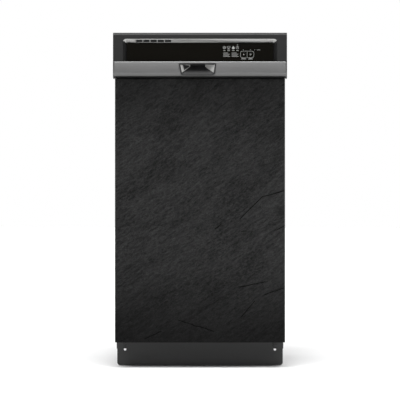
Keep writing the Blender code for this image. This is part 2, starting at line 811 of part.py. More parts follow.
def build_toe_kick():
    half = TOE_WIDTH / 2
    low, high = TOE_GROUND_GAP, TOE_GROUND_GAP + TOE_HEIGHT
    outline = rounded([(-half, low, 0.007), (half, low, 0.007), (half, high, 0), (-half, high, 0)])
    kick = plate("toe_kick", outline, "y", TOE_FRONT, TOE_FRONT + TOE_SHEET, "toe_black")
    wide, tall = TOE_SLOT_HALF_WIDTH, TOE_SLOT_HALF_HEIGHT
    for side, sign in sides():
        x = sign * TOE_SLOT_X
        slot = rounded([(x - wide, TOE_SLOT_Z - tall, 0.003), (x + wide, TOE_SLOT_Z - tall, 0.003),
                        (x + wide, TOE_SLOT_Z + tall, 0.003), (x - wide, TOE_SLOT_Z + tall, 0.003)])
        cut(kick, plate("slot", slot, "y", TOE_FRONT - 0.004, TOE_FRONT + 0.004))
        head = TOE_FRONT - CLEARANCE
        turned(
            f"toe_kick_screw_{side}",
            [
                (0.0, head - 0.0025), (0.0040, head - 0.0025), (SCREW_HEAD, head - 0.0012),
                (SCREW_HEAD, head), (SCREW_SHANK, head), (SCREW_SHANK, BASE_FRONT + 0.006),
                (0.0, BASE_FRONT + 0.006),
            ][::-1],
            (x, 0, TOE_SLOT_Z + TOE_SCREW_RISE), "y", "stainless", sides=12,
        )
    return kick


def build_hinges():
    """The steel hinge frame fixed to the base, and the two arms that carry the door."""
    ear_x = TUB_HALF + TUB_FLANGE + 0.001
    level = HINGE_HEIGHT
    rear = HINGE_FRAME_REAR
    bar = box(
        "bar", (-ear_x - 0.0005, ear_x + 0.0005), (CABINET_FRONT + 0.002, rear),
        (level + 0.0005, level + 0.0025),
    )
    fold = box(
        "fold", (-ear_x - 0.0005, ear_x + 0.0005), (rear - 0.0015, rear),
        (TOE_HEIGHT + 0.006, level + 0.0022),
    )
    pieces = [bar, fold]
    sole = level - 0.0010
    ear_outline = rounded(
        [
            (HINGE_Y - EAR_HALF_HEIGHT, level - EAR_HALF_HEIGHT, 0.0078),
            (HINGE_Y + EAR_HALF_HEIGHT, level - EAR_HALF_HEIGHT, 0.004),
            (HINGE_Y + EAR_HALF_HEIGHT + 0.006, sole, 0), (rear - 0.0004, sole, 0),
            (rear - 0.0004, level + EAR_HALF_HEIGHT, 0),
            (HINGE_Y - EAR_HALF_HEIGHT, level + EAR_HALF_HEIGHT, 0.0078),
        ]
    )
    for _, sign in sides():
        ends = sorted((sign * ear_x, sign * (ear_x + EAR_THICKNESS)))
        pieces.append(plate("ear", ear_outline, "x", *ends))
    frame = fuse("hinge_frame", pieces, "galvanised")
    bore = PIN_RADIUS + PIN_CLEARANCE
    cut(frame, cylinder("bore", bore, (0, HINGE_Y, level), 2 * HALF, "x", sides=16))
    arm_in = ear_x + EAR_THICKNESS + ARM_GAP
    half = ARM_HALF
    back = LINER_INSIDE - 0.003
    arm_outline = rounded([
        (HINGE_Y - ARM_FRONT, level - half, 0.004), (HINGE_Y + ARM_TAIL, level - half, 0.004),
        (HINGE_Y + ARM_TAIL, level + half, 0.004), (back, level + half, 0),
        (back, level + ARM_LENGTH, 0.004), (HINGE_Y - ARM_FRONT, level + ARM_LENGTH, 0.004),
    ])
    arms = []
    for side, sign in sides():
        ends = sorted((sign * arm_in, sign * (arm_in + ARM_THICKNESS)))
        arm = plate("arm", arm_outline, "x", *ends)
        pin_ends = sorted((sign * (ear_x - 0.001), sign * (arm_in + ARM_THICKNESS / 2)))
        middle = (pin_ends[0] + pin_ends[1]) / 2
        pin = cylinder(
            "pin", PIN_RADIUS, (middle, HINGE_Y, level), pin_ends[1] - pin_ends[0], "x", sides=16,
        )
        arms.append(fuse(f"hinge_arm_{side}", [arm, pin], "galvanised"))
    return frame, arms


def build_springs():
    """The door's balance springs lie along the base behind the hinge frame."""
    for side, sign in sides():
        x = sign * (TUB_HALF + SPRING_OUTSET)
        start = HINGE_FRAME_REAR + SPRING_STANDOFF
        end = start + SPRING_LENGTH
        z = HINGE_HEIGHT
        coil = cylinder(
            "coil", SPRING_RADIUS, (x, (start + end) / 2, z), end - start - 0.030, "y", sides=12,
        )
        front_hook = cylinder("hook", HOOK_RADIUS, (x, start + 0.010, z), HOOK_LENGTH, "y", sides=8)
        rear_hook = cylinder("hook", HOOK_RADIUS, (x, end - 0.010, z), HOOK_LENGTH, "y", sides=8)
        fuse(f"door_spring_{side}", [coil, front_hook, rear_hook], "galvanised")


# ------------------------------------------------------------------ wash system
def build_sump():
    top = BASIN_FLOOR - SHEET - CLEARANCE
    wall = SUMP_WALL
    bottom = top - SUMP_DEPTH
    r = SUMP_RADIUS
    cup = turned(
        "cup",
        [
            (0.0, bottom + wall), (r * SUMP_TAPER, bottom + wall), (r - wall, top - 0.020),
            (r - wall, top), (r + SUMP_RIM, top), (r + SUMP_RIM, top - wall), (r, top - wall),
            (r, top - 0.022), (r * SUMP_TAPER + wall, bottom), (0.0, bottom),
        ],
        (SUMP_X, SUMP_Y, 0), "z", sides=28,
    )
    hub_top = LOWER_ARM_Z - CLEARANCE
    hub = cylinder(
        "hub", HUB_RADIUS, (SUMP_X, HUB_Y, (bottom + wall / 2 + hub_top) / 2),
        hub_top - bottom - wall / 2, "z",
    )
    fuse("sump", [cup, hub], "grey_plastic")
    plate_low = BASIN_FLOOR + CLEARANCE
    disc = cylinder(
        "filter_plate", SUMP_RADIUS + FILTER_PLATE_LAP,
        (SUMP_X, SUMP_Y, plate_low + FILTER_PLATE_SHEET / 2), FILTER_PLATE_SHEET, "z", "stainless",
        28,
    )
    cut(
        disc,
        cylinder("hole", HUB_RADIUS + CLEARANCE, (SUMP_X, HUB_Y, plate_low), 0.02, "z"),
        cylinder("hole", FILTER_RADIUS + CLEARANCE, (SUMP_X, FILTER_Y, plate_low), 0.02, "z"),
    )
    low = bottom + FILTER_LIFT
    high = plate_low + FILTER_RISE
    cup_filter = turned(
        "filter",
        [
            (0.0, low + FILTER_WALL), (FILTER_RADIUS - FILTER_WALL, low + FILTER_WALL),
            (FILTER_RADIUS - FILTER_WALL, high), (FILTER_RADIUS, high), (FILTER_RADIUS, low),
            (0.0, low),
        ],
        (SUMP_X, FILTER_Y, 0), "z",
    )
    grip = box(
        "grip", (SUMP_X - FILTER_RADIUS + 0.001, SUMP_X + FILTER_RADIUS - 0.001),
        (FILTER_Y - 0.003, FILTER_Y + 0.003), (high - 0.012, high + 0.006),
    )
    filter_cylinder = fuse("filter_cylinder", [cup_filter, grip], "grey_plastic")
    on_joint("filter_lock", (SUMP_X, FILTER_Y, low), filter_cylinder)


def spray_arm(name, z, finish):
    """A two-bladed spray arm with a round hub, its blades pitched by a taper in their outline."""
    half = SPRAY_ARM_WIDTH / 2
    tip = half * ARM_TIP_TAPER
    outline = rounded([
        (-ARM_SWEEP, HUB_Y - tip, 0.006), (-HUB_RADIUS, HUB_Y - half, 0), (HUB_RADIUS, HUB_Y - half, 0),
        (ARM_SWEEP, HUB_Y - tip, 0.006), (ARM_SWEEP, HUB_Y + tip, 0.006), (HUB_RADIUS, HUB_Y + half, 0),
        (-HUB_RADIUS, HUB_Y + half, 0), (-ARM_SWEEP, HUB_Y + tip, 0.006),
    ])
    blade = plate("blade", outline, "z", z, z + SPRAY_ARM_THICKNESS * BLADE_SHARE)
    hub = cylinder(
        "hub", half * HUB_SHARE, (SUMP_X, HUB_Y, z + SPRAY_ARM_THICKNESS / 2), SPRAY_ARM_THICKNESS,
        "z",
    )
    arm = fuse(name, [blade, hub], finish)
    on_joint(f"{name}_bearing", (SUMP_X, HUB_Y, z), arm)
    return arm


def build_spray_pipe():
    """The water pipe from the sump's hub back along the floor and up the rear wall."""
    level = FLOOR + CLEARANCE + PIPE_RADIUS + 0.0006
    wall = TUB_BACK - SHEET - CLEARANCE - PIPE_RADIUS - 0.0010
    docking = SPRAY_DUCT_TOP - SPRAY_DUCT / 2
    route = [
        (SUMP_X, HUB_Y + HUB_RADIUS + 0.004, level), (SUMP_X, wall, level), (SUMP_X, wall, docking),
        (SUMP_X, RACK_REAR + 0.009, docking),
    ]
    pipe = wire(bent(route, PIPE_RADIUS * 1.6, 3), PIPE_RADIUS, "spray_feed_pipe", resolution=3)
    pipe.data.materials.append(finish_of("grey_plastic"))


def build_upper_duct():
    high = SPRAY_DUCT_TOP
    low = high - SPRAY_DUCT
    duct = box(
        "duct", (SUMP_X - DUCT_HALF_WIDTH, SUMP_X + DUCT_HALF_WIDTH),
        (HUB_Y - 0.012, RACK_REAR + 0.008), (low, high), round_edges=0.003,
    )
    spigot = cylinder("spigot", HUB_RADIUS, (SUMP_X, HUB_Y, low - 0.003), SPIGOT_LENGTH, "z")
    return fuse("upper_spray_duct", [duct, spigot], "grey_plastic")


def build_base_machinery():
    """Circulation pump, drain pump and the water softener with its salt neck, in the base."""
    deck = BASIN_FLOOR - SHEET - 0.002
    seat = FOOT_EXTENSION + BASE_WALL + 0.0012
    radius = (deck - seat) / 2 - 0.001
    axis_z = (deck + seat) / 2
    motor = cylinder("motor", radius * MOTOR_SHARE, (PUMP_X, MOTOR_Y, axis_z), MOTOR_LENGTH, "y")
    volute = cylinder("volute", radius, (PUMP_X, VOLUTE_Y, axis_z), VOLUTE_WIDTH, "y")
    outlet = cylinder("outlet", 0.010, (PUMP_X - 0.035, VOLUTE_Y, axis_z), 0.050, "x", sides=12)
    fuse("circulation_pump", [motor, volute, outlet], "black_plastic")
    drain_z = seat + 0.024
    drain_motor = cylinder("motor", DRAIN_MOTOR_RADIUS, (DRAIN_X, DRAIN_MOTOR_Y, drain_z), 0.055, "y")
    drain_head = cylinder("head", DRAIN_HEAD_RADIUS, (DRAIN_X, DRAIN_HEAD_Y, drain_z), 0.022, "y")
    fuse("drain_pump", [drain_motor, drain_head], "black_plastic")
    tank = box(
        "tank", (-HALF + TANK_INSET, TANK_RIGHT), (TANK_FRONT, BACK - TANK_REAR_GAP), (seat, deck),
        round_edges=0.006,
    )
    neck_top = BASIN_FLOOR + SALT_NECK_RISE
    neck = cylinder(
        "neck", SALT_NECK, (SALT_X, SALT_Y, (seat + 0.02 + neck_top) / 2), neck_top - seat - 0.02,
        "z",
    )
    softener = fuse("water_softener", [tank, neck], "grey_plastic")
    plug = SALT_NECK - SALT_PLUG_WALL
    cut(softener, cylinder("bore", plug + 0.0006, (SALT_X, SALT_Y, neck_top), 0.044, "z"))
    seat_z = neck_top + CLEARANCE
    cap_disc = turned(
        "cap",
        [
            (0.0, seat_z + 0.007), (SALT_NECK + 0.004, seat_z + 0.007),
            (SALT_NECK + SALT_CAP_LIP, seat_z + 0.005), (SALT_NECK + SALT_CAP_LIP, seat_z),
            (plug, seat_z), (plug, seat_z - 0.014), (0.0, seat_z - 0.014),
        ],
        (SALT_X, SALT_Y, 0), "z",
    )
    grip = box(
        "grip", (SALT_X - 0.018, SALT_X + 0.018), (SALT_Y - 0.004, SALT_Y + 0.004),
        (seat_z + 0.004, seat_z + 0.013),
    )
    cap = fuse("salt_cap", [cap_disc, grip], "grey_plastic")
    on_joint("salt_cap_thread", (SALT_X, SALT_Y, seat_z), cap)


# ------------------------------------------------------------------ racks
def spread(low, high, count):
    return [low + (high - low) * i / (count - 1) for i in range(count)]


def crossing(first, second):
    """How far apart the centre lines of two welded wires lie where they cross."""
    return (first + second) * 0.68


def basket(half, front, rear, floor, rim, along, across):
    """The wires of an open basket: U-shaped wires both ways, a ring half way up and a thick rim."""
    inset = crossing(RIM_WIRE, WIRE)
    step = crossing(WIRE, WIRE)
    top = rim + WIRE * 0.5
    corner = RIM_CORNER
    outer = rounded(
        [
            (-half, front, corner), (half, front, corner), (half, rear, corner),
            (-half, rear, corner),
        ],
        2,
    )
    pieces = [ring_wire([(x, y, rim) for x, y in outer], RIM_WIRE)]
    out = half - inset + step
    low, high = front + inset - step, rear - inset + step
    belt = rounded(
        [(-out, low, corner), (out, low, corner), (out, high, corner), (-out, high, corner)], 2,
    )
    pieces.append(ring_wire([(x, y, (floor + rim) / 2) for x, y in belt], WIRE))
    y0, y1 = front + inset, rear - inset
    for x in spread(-half * ALONG_SHARE, half * ALONG_SHARE, along):
        pieces.append(
            wire(
                bent([(x, y0, top), (x, y0, floor), (x, y1, floor), (x, y1, top)], WIRE_BEND), WIRE,
            )
        )
    x1 = half - inset
    upper = floor + step
    for y in spread(y0 + ACROSS_INSET, y1 - ACROSS_INSET, across):
        pieces.append(
            wire(
                bent([(-x1, y, top), (-x1, y, upper), (x1, y, upper), (x1, y, top)], WIRE_BEND),
                WIRE,
            )
        )
    return pieces


def wheel_places():
    for side, sign in sides():
        yield f"rack_wheel_front_{side}", sign, RACK_FRONT + WHEEL_FRONT_INSET
        yield f"rack_wheel_rear_{side}", sign, RACK_REAR - WHEEL_REAR_INSET


def build_lower_rack():
    floor = LOWER_Z
    pieces = basket(LOWER_HALF, RACK_FRONT, RACK_REAR, floor, LOWER_RIM, LOWER_ALONG, LOWER_ACROSS)
    axle_z = FLOOR + CLEARANCE + WHEEL_RADIUS
    hub_x = LOWER_HALF - AXLE_INSET
    wheel_in = hub_x + AXLE_RADIUS + AXLE_SHOULDER
    arm_z = floor - 0.0010
    for _, sign, y in wheel_places():
        drop = [
            (sign * (hub_x - AXLE_TAIL), y, arm_z), (sign * hub_x, y, arm_z),
            (sign * hub_x, y, axle_z), (sign * (wheel_in + WHEEL_WIDTH + 0.002), y, axle_z),
        ]
        pieces.append(wire(bent(drop, AXLE_BEND), AXLE_RADIUS, resolution=2))
    tine_y = spread(RACK_FRONT + TINE_FRONT_INSET, RACK_REAR - TINE_REAR_INSET, TINE_COUNT)
    tine_x = FIXED_TINE_X
    bar_z = floor + 2 * crossing(WIRE, WIRE)
    pieces.append(
        wire(
            [
                (tine_x, tine_y[0] - TINE_BAR_TAIL, bar_z),
                (tine_x, tine_y[-1] + TINE_BAR_TAIL, bar_z),
            ],
            WIRE,
        )
    )
    for y in tine_y:
        pieces.append(wire([(tine_x, y, bar_z), (tine_x, y, bar_z + TINE_HEIGHT)], WIRE))
    rack = fuse("lower_rack", pieces, "coated_wire")
    bore = AXLE_RADIUS + AXLE_CLEARANCE
    wheels = []
    for name, sign, y in wheel_places():
        half = WHEEL_WIDTH / 2
        rim = WHEEL_RADIUS
        inner, outer = bore + WHEEL_FLANGE, rim - WHEEL_FLANGE
        wheel = turned(
            name,
            [
                (bore, half), (inner, half), (inner + 0.001, half * 0.5),
                (outer - 0.001, half * 0.5), (outer, half), (rim - 0.001, half),
                (rim, half - 0.001), (rim, -half + 0.001), (rim - 0.001, -half), (outer, -half),
                (outer - 0.001, -half * 0.5), (inner + 0.001, -half * 0.5), (inner, -half),
                (bore, -half), (bore, half),
            ],
            (sign * (wheel_in + half), y, axle_z), "x", "grey_plastic", sides=16,
        )
        on_joint(f"{name}_axle", (sign * (wheel_in + half), y, axle_z), wheel)
        wheels.append(wheel)
    return rack, wheels


def build_fold_tines():
    bar_z = LOWER_Z + crossing(WIRE, WIRE) + 2 * WIRE + CLEARANCE
    tine_y = spread(RACK_FRONT + TINE_FRONT_INSET, RACK_REAR - TINE_REAR_INSET, TINE_COUNT)
    pieces = [
        wire(
            [
                (FOLD_TINE_X, tine_y[0] - TINE_BAR_TAIL, bar_z),
                (FOLD_TINE_X, tine_y[-1] + TINE_BAR_TAIL, bar_z),
            ],
            WIRE,
        )
    ]
    for y in tine_y:
        pieces.append(wire([(FOLD_TINE_X, y, bar_z), (FOLD_TINE_X, y, bar_z + TINE_HEIGHT)], WIRE))
    tines = fuse("fold_down_tines", pieces, "coated_wire")
    on_joint("tine_pivot", (FOLD_TINE_X, 0, bar_z), tines)
    return tines


def build_cutlery_basket():
    right = LOWER_HALF - RIM_WIRE - WIRE - WIRE_BEND
    left = right - BASKET_WIDTH
    front = RACK_FRONT + RIM_WIRE + WIRE + WIRE_BEND
    rear = front + BASKET_LENGTH
    low = LOWER_Z + crossing(WIRE, WIRE) + WIRE + CLEARANCE
    high = LOWER_RIM - BASKET_RIM_DROP
    tub = tray(
        "cutlery_basket", (left, right), (front, rear), (low, high), "+z", BASKET_WALL,
        "grey_plastic",
    )
    middle = (front + rear) / 2
    tub_mesh = evaluated_mesh(tub, "tub_mesh")
    bpy.data.objects.remove(tub)
    shell = add_object("shell", tub_mesh, None)
    divider = box(
        "divider", (left + BASKET_WALL - DIVIDER_SINK, right - BASKET_WALL + DIVIDER_SINK),
        (middle - BASKET_WALL / 2, middle + BASKET_WALL / 2),
        (low + BASKET_WALL - DIVIDER_SINK, high - 0.004),
    )
    handle = bail(left, right, middle, high)
    return fuse("cutlery_basket", [shell, divider, handle], "grey_plastic")


def bail(left, right, middle, high):
    """The bail over the middle of the cutlery basket, as a flat arch."""
    foot = high - BAIL_FOOT
    top = high + BAIL_RISE
    outer_left, outer_right = left + BASKET_WALL - BAIL_SINK, right - BASKET_WALL + BAIL_SINK
    inner_left, inner_right = left + BAIL_BAND, right - BAIL_BAND
    outline = rounded(
        [
            (outer_left, foot, 0), (outer_left, top, 0.012), (outer_right, top, 0.012),
            (outer_right, foot, 0), (inner_right, foot, 0), (inner_right, top - BAIL_BAND, 0.008),
            (inner_left, top - BAIL_BAND, 0.008), (inner_left, foot, 0),
        ]
    )
    return plate("bail", outline, "y", middle - BAIL_WIDTH / 2, middle + BAIL_WIDTH / 2)


def build_upper_rack():
    pieces = basket(
        UPPER_HALF, RACK_FRONT, RACK_REAR, UPPER_FLOOR, UPPER_RIM, UPPER_ALONG, UPPER_ACROSS,
    )
    return fuse("upper_rack", pieces, "coated_wire")


def build_rails():
    """On each side a C-shaped rail on the tub's wall and the upper rack's runner in it."""
    outer = TUB_INNER - RAIL_STANDOFF
    inner = outer - RAIL_REACH
    top, low = RAIL_TOP, RAIL_TOP - RAIL_HEIGHT
    y0, y1 = CABINET_FRONT + RAIL_END_GAP, TUB_BACK - SHEET - RAIL_END_GAP
    runners = []
    for side, sign in sides():
        channel = [
            (inner, top), (outer, top), (outer, low), (inner, low), (inner, low + RAIL_WALL),
            (outer - RAIL_WALL, low + RAIL_WALL), (outer - RAIL_WALL, top - RAIL_WALL),
            (inner, top - RAIL_WALL),
        ]
        plate(f"rail_{side}", [(sign * u, v) for u, v in channel], "y", y0, y1, "stainless")
        mouth = inner + RUNNER_LIP
        back = outer - RAIL_WALL - RUNNER_GAP
        under, over = low + RAIL_WALL + RUNNER_GAP, top - RAIL_WALL - RUNNER_GAP
        middle = (top + low) / 2
        rack_side = UPPER_HALF + RIM_WIRE + CLEARANCE
        outline = [
            (mouth, under), (back, under), (back, over), (mouth, over),
            (mouth, middle + RUNNER_WEB), (rack_side, middle + RUNNER_WEB),
            (rack_side, middle - RUNNER_WEB), (mouth, middle - RUNNER_WEB),
        ]
        runner = plate(
            f"runner_{side}", [(sign * u, v) for u, v in outline], "y", y0 + 0.006, RACK_REAR,
            "grey_plastic",
        )
        runners.append(runner)
    return runners


def build_cup_shelf():
    x = -UPPER_HALF + RIM_WIRE + WIRE * 3.0 + CUP_SHELF_GAP
    z = UPPER_RIM - CUP_SHELF_DROP
    far = x + CUP_SHELF_REACH
    y0, y1 = RACK_FRONT + CUP_SHELF_INSET, RACK_REAR - CUP_SHELF_INSET
    pieces = [wire([(x, y0, z), (x, y1, z)], WIRE)]
    pieces.append(wire([(far, y0, z), (far, y1, z)], WIRE))
    for y in spread(y0 + 0.006, y1 - 0.006, CUP_SHELF_BARS):
        pieces.append(
            wire([(x - WIRE * 0.4, y, z + WIRE * 0.6), (far + WIRE * 0.4, y, z + WIRE * 0.6)], WIRE)
        )
    shelf = fuse("cup_shelf", pieces, "coated_wire")
    on_joint("cup_shelf_pivot", (x, 0, z), shelf)
    return shelf


# ------------------------------------------------------------------ door
def build_door_sheets():
    half = DECOR_WIDTH / 2
    decor = box(
        "decor_panel", (-half, half), (DECOR_FRONT, DECOR_FRONT + DECOR_THICKNESS),
        (DOOR_BOTTOM, TRAY_TOP), "slate", round_edges=0.0006, segments=1,
    )
    half = DOOR_TRAY_WIDTH / 2
    outer = tray(
        "door_outer_panel", (-half, half), (TRAY_FRONT, TRAY_FRONT + DOOR_FLANGE),
        (DOOR_BOTTOM + 0.001, TRAY_TOP), "+y", SHEET, "galvanised",
    )
    relief = DOOR_REAR - LINER_FLANGE - 0.0015
    cut(
        outer,
        box(
            "relief", (-half - 0.01, half + 0.01), (relief, DOOR_REAR),
            (TRAY_TOP - 0.002, TRAY_TOP + 0.01),
        ),
    )
    half = LINER_WIDTH / 2
    low = HINGE_HEIGHT + 0.003
    liner = tray(
        "door_liner", (-half, half), (DOOR_REAR - LINER_FLANGE, DOOR_REAR), (low, LINER_TOP), "-y",
        SHEET, "stainless",
    )
    notch = EAR_HALF_HEIGHT + 0.005
    corner_x = TUB_HALF + TUB_FLANGE - 0.003
    for _, sign in sides():
        ends = sorted((sign * corner_x, sign * (half + 0.01)))
        cut(
            liner,
            box(
                "notch", ends, (DOOR_REAR - 0.04, DOOR_REAR + 0.01),
                (low - 0.01, HINGE_HEIGHT + notch),
            ),
        )
    x0, x1, z0, z1 = dispenser_outline(CLEARANCE)
    cut(liner, box("window", (x0, x1), (DOOR_REAR - 0.01, DOOR_REAR + 0.01), (z0, z1)))
    slot_half = CATCH_SLOT_HALF
    slot_z = STRIKER_Z
    cut(
        liner,
        box(
            "slot", (-slot_half, slot_half), (DOOR_REAR - 0.01, DOOR_REAR + 0.01),
            (slot_z - 0.004, slot_z + 0.005),
        ),
    )
    return [decor, outer, liner]


def dispenser_outline(gap):
    return (
        DISPENSER_X - DISPENSER_WIDTH / 2 - gap, DISPENSER_X + DISPENSER_WIDTH / 2 + gap,
        DISPENSER_Z - DISPENSER_HEIGHT / 2 - gap, DISPENSER_Z + DISPENSER_HEIGHT / 2 + gap,
    )


def handle_outline(grow):
    """The pocket's mouth in the strip, as (x, z) corners, its lower corners rounded."""
    top = HANDLE_TOP + grow
    low = HANDLE_TOP - HANDLE_HEIGHT - grow
    wide = HANDLE_TOP_WIDTH / 2 + grow
    narrow = HANDLE_BOTTOM_WIDTH / 2 + grow
    return rounded([
        (HANDLE_X - wide, top, 0.002), (HANDLE_X - narrow, low, 0.006), (HANDLE_X + narrow, low, 0.006),
        (HANDLE_X + wide, top, 0.002),
    ])


def loft(name, front_outline, front_y, back_outline, back_y):
    """A solid between two outlines of the same number of points, each in its own plane."""
    bm = bmesh.new()
    front = [bm.verts.new((u, front_y, v)) for u, v in front_outline]
    grown = bmesh.ops.extrude_edge_only(bm, edges=bm.faces.new(front).edges)
    back = [g for g in grown["geom"] if isinstance(g, bmesh.types.BMVert)]
    order = {
        vert: front.index(near) for vert in back for near in front
        if (near.co - vert.co).length < 1e-9
    }
    for vert, index in order.items():
        u, v = back_outline[index]
        vert.co = (u, back_y, v)
    bmesh.ops.contextual_create(bm, geom=[e for e in bm.edges if e.is_boundary])
    return add_object(name, mesh_from(bm, name), None)


def build_control_panel():
    """The moulded fascia: its side profile extruded, hollow behind, with its openings cut."""
    half = PANEL_WIDTH / 2
    rear = DOOR_REAR - 0.0015
    low, top = PANEL_BOTTOM, OVERALL_HEIGHT
    ledge = STRIP_TOP
    profile = rounded([
        (rear, low, 0), (FRONT, low, STRIP_ROUND), (FRONT, ledge, 0.003), (UPPER_FACE, WINDOW_SILL, 0),
        (UPPER_FACE, top, 0.007), (rear, top, 0),
    ])
    fascia = plate("control_panel", profile, "x", -half, half, "dark_steel")
    wall = MOULDING
    floor = WINDOW_FLOOR + wall
    lip = TRAY_FRONT + 0.006
    hollow = [
        (rear + 0.01, low - 0.01), (lip, low - 0.01), (lip, low + wall),
        (FRONT + wall, low + STRIP_ROUND), (FRONT + wall, ledge - wall * 2),
        (floor, ledge - wall * 1.4), (floor, WINDOW_TOP + 0.001),
        (UPPER_FACE + wall, WINDOW_TOP + wall), (UPPER_FACE + 0.008, top - wall),
        (rear + 0.01, top - wall),
    ]
    cut(fascia, plate("hollow", hollow, "x", -half + wall, half - wall))
    edge = WINDOW_WIDTH / 2
    sill = WINDOW_SILL
    out = 0.004
    grow = out * WINDOW_BEVEL / WINDOW_DEPTH
    mouth = rounded(
        [
            (-edge - grow, sill, 0), (edge + grow, sill, 0),
            (edge + grow, WINDOW_TOP + grow, 0.010), (-edge - grow, WINDOW_TOP + grow, 0.010),
        ],
        4,
    )
    inner = WINDOW_TOP - WINDOW_BEVEL
    side = edge - WINDOW_BEVEL
    floor_outline = rounded(
        [(-side, sill, 0), (side, sill, 0), (side, inner, 0.004), (-side, inner, 0.004)], 4,
    )
    cut(fascia, loft("window", mouth, UPPER_FACE - out, floor_outline, WINDOW_FLOOR))
    vent_top = WINDOW_TOP - 0.0022
    for i in range(VENT_COUNT):
        x = VENT_FIRST_X + i * VENT_PITCH
        cut(
            fascia,
            box(
                "vent", (x - VENT_WIDTH / 2, x + VENT_WIDTH / 2),
                (UPPER_FACE - 0.004, floor + 0.004), (vent_top - VENT_HEIGHT, vent_top),
            ),
        )
    grip = handle_outline(HANDLE_RIM + CLEARANCE)
    cut(fascia, plate("grip", grip, "y", FRONT - 0.004, FRONT + GRIP_HOLE_DEPTH))
    for x in BUTTON_X.values():
        z = STRIP_TOP + BUTTON_ABOVE_STRIP
        cut(
            fascia,
            cylinder("hole", BUTTON_RADIUS + CLEARANCE, (x, WINDOW_FLOOR, z), 0.014, "y", sides=16),
        )
    return fascia


def build_insert():
    """The dark glossy insert in the window, with the two button holes."""
    side = WINDOW_WIDTH / 2 - WINDOW_BEVEL - CLEARANCE
    sill = WINDOW_SILL + CLEARANCE
    inner = WINDOW_TOP - WINDOW_BEVEL - CLEARANCE
    outline = rounded(
        [(-side, sill, 0), (side, sill, 0), (side, inner, 0.0038), (-side, inner, 0.0038)]
    )
    insert = plate(
        "panel_insert", outline, "y", WINDOW_FLOOR - CLEARANCE - INSERT_THICKNESS,
        WINDOW_FLOOR - CLEARANCE, "gloss_black",
    )
    z = STRIP_TOP + BUTTON_ABOVE_STRIP
    buttons = []
    face = WINDOW_FLOOR - CLEARANCE - INSERT_THICKNESS - BUTTON_PROUD
    back = WINDOW_FLOOR + MOULDING + CLEARANCE
    for name, x in BUTTON_X.items():
        cut(
            insert,
            cylinder("hole", BUTTON_RADIUS + CLEARANCE, (x, WINDOW_FLOOR, z), 0.014, "y", sides=16),
        )
        button = turned(
            name,
            [
                (0.0, face), (BUTTON_RADIUS - 0.0006, face), (BUTTON_RADIUS, face + 0.0006),
                (BUTTON_RADIUS, back), (BUTTON_COLLAR, back),
                (BUTTON_COLLAR, back + COLLAR_THICKNESS), (0.0, back + COLLAR_THICKNESS),
            ][::-1],
            (x, 0, z), "y", "gloss_black", sides=16,
        )
        on_joint(f"{name}_travel", (x, face, z), button)
        buttons.append(button)
    return insert, buttons


def build_handle():
    """The grip pocket: a sloping plate between two cheeks, and a throat up to the lever."""
    rim = handle_outline(HANDLE_RIM)
    plug = plate("plug", rim, "y", FRONT + 0.0004, THROAT_Y + 0.004)
    wide = HANDLE_TOP_WIDTH / 2 + HANDLE_RIM
    low = HANDLE_TOP - HANDLE_HEIGHT - HANDLE_RIM
    top = HANDLE_TOP + FINGER_HEIGHT
    block = box(
        "block", (HANDLE_X - wide + 0.004, HANDLE_X + wide - 0.004),
        (WINDOW_FLOOR + MOULDING + CLEARANCE, FINGER_REAR + 0.003), (low + 0.001, top),
    )
    cup = fuse("handle_cup", [plug, block], "black_plastic")
    mouth = handle_outline(0.0)
    throat_half = HANDLE_THROAT_WIDTH / 2
    throat_low = HANDLE_TOP - HANDLE_THROAT_HEIGHT
    throat = rounded([
        (HANDLE_X - throat_half, HANDLE_TOP, 0.001), (HANDLE_X - throat_half, throat_low, 0.001),
        (HANDLE_X + throat_half, throat_low, 0.001), (HANDLE_X + throat_half, HANDLE_TOP, 0.001),
    ])
    depth = THROAT_Y - FRONT
    lead = 0.002
    ahead = [m + (m - t) * (lead / depth) for m, t in zip(mouth, throat)]
    cut(cup, loft("scoop", ahead, FRONT - lead, throat, THROAT_Y))
    half = FINGER_WIDTH / 2
    cut(cup, box("fingers", (HANDLE_X - half, HANDLE_X + half), (THROAT_Y - 0.0015, FINGER_REAR),
                 (throat_low, top - 0.003)))
    lever_z = top - LEVER_DROP
    lever_y = FINGER_REAR - CLEARANCE - LEVER_THICKNESS
    pivot = (HANDLE_X, lever_y + LEVER_THICKNESS / 2, lever_z)
    grip = plate(
        "lever",
        rounded(
            [
                (HANDLE_X - half + 0.001, lever_z, 0),
                (HANDLE_X - half + 0.001, throat_low + 0.003, 0.003),
                (HANDLE_X + half - 0.001, throat_low + 0.003, 0.003),
                (HANDLE_X + half - 0.001, lever_z, 0),
            ]
        ),
        "y", lever_y, lever_y + LEVER_THICKNESS,
    )
    barrel = cylinder("barrel", LEVER_THICKNESS / 2, pivot, FINGER_WIDTH - 0.002, "x", sides=12)
    lever = fuse("latch_lever", [barrel, grip], "black_plastic")
    on_joint("lever_pivot", pivot, lever)
    return cup, lever


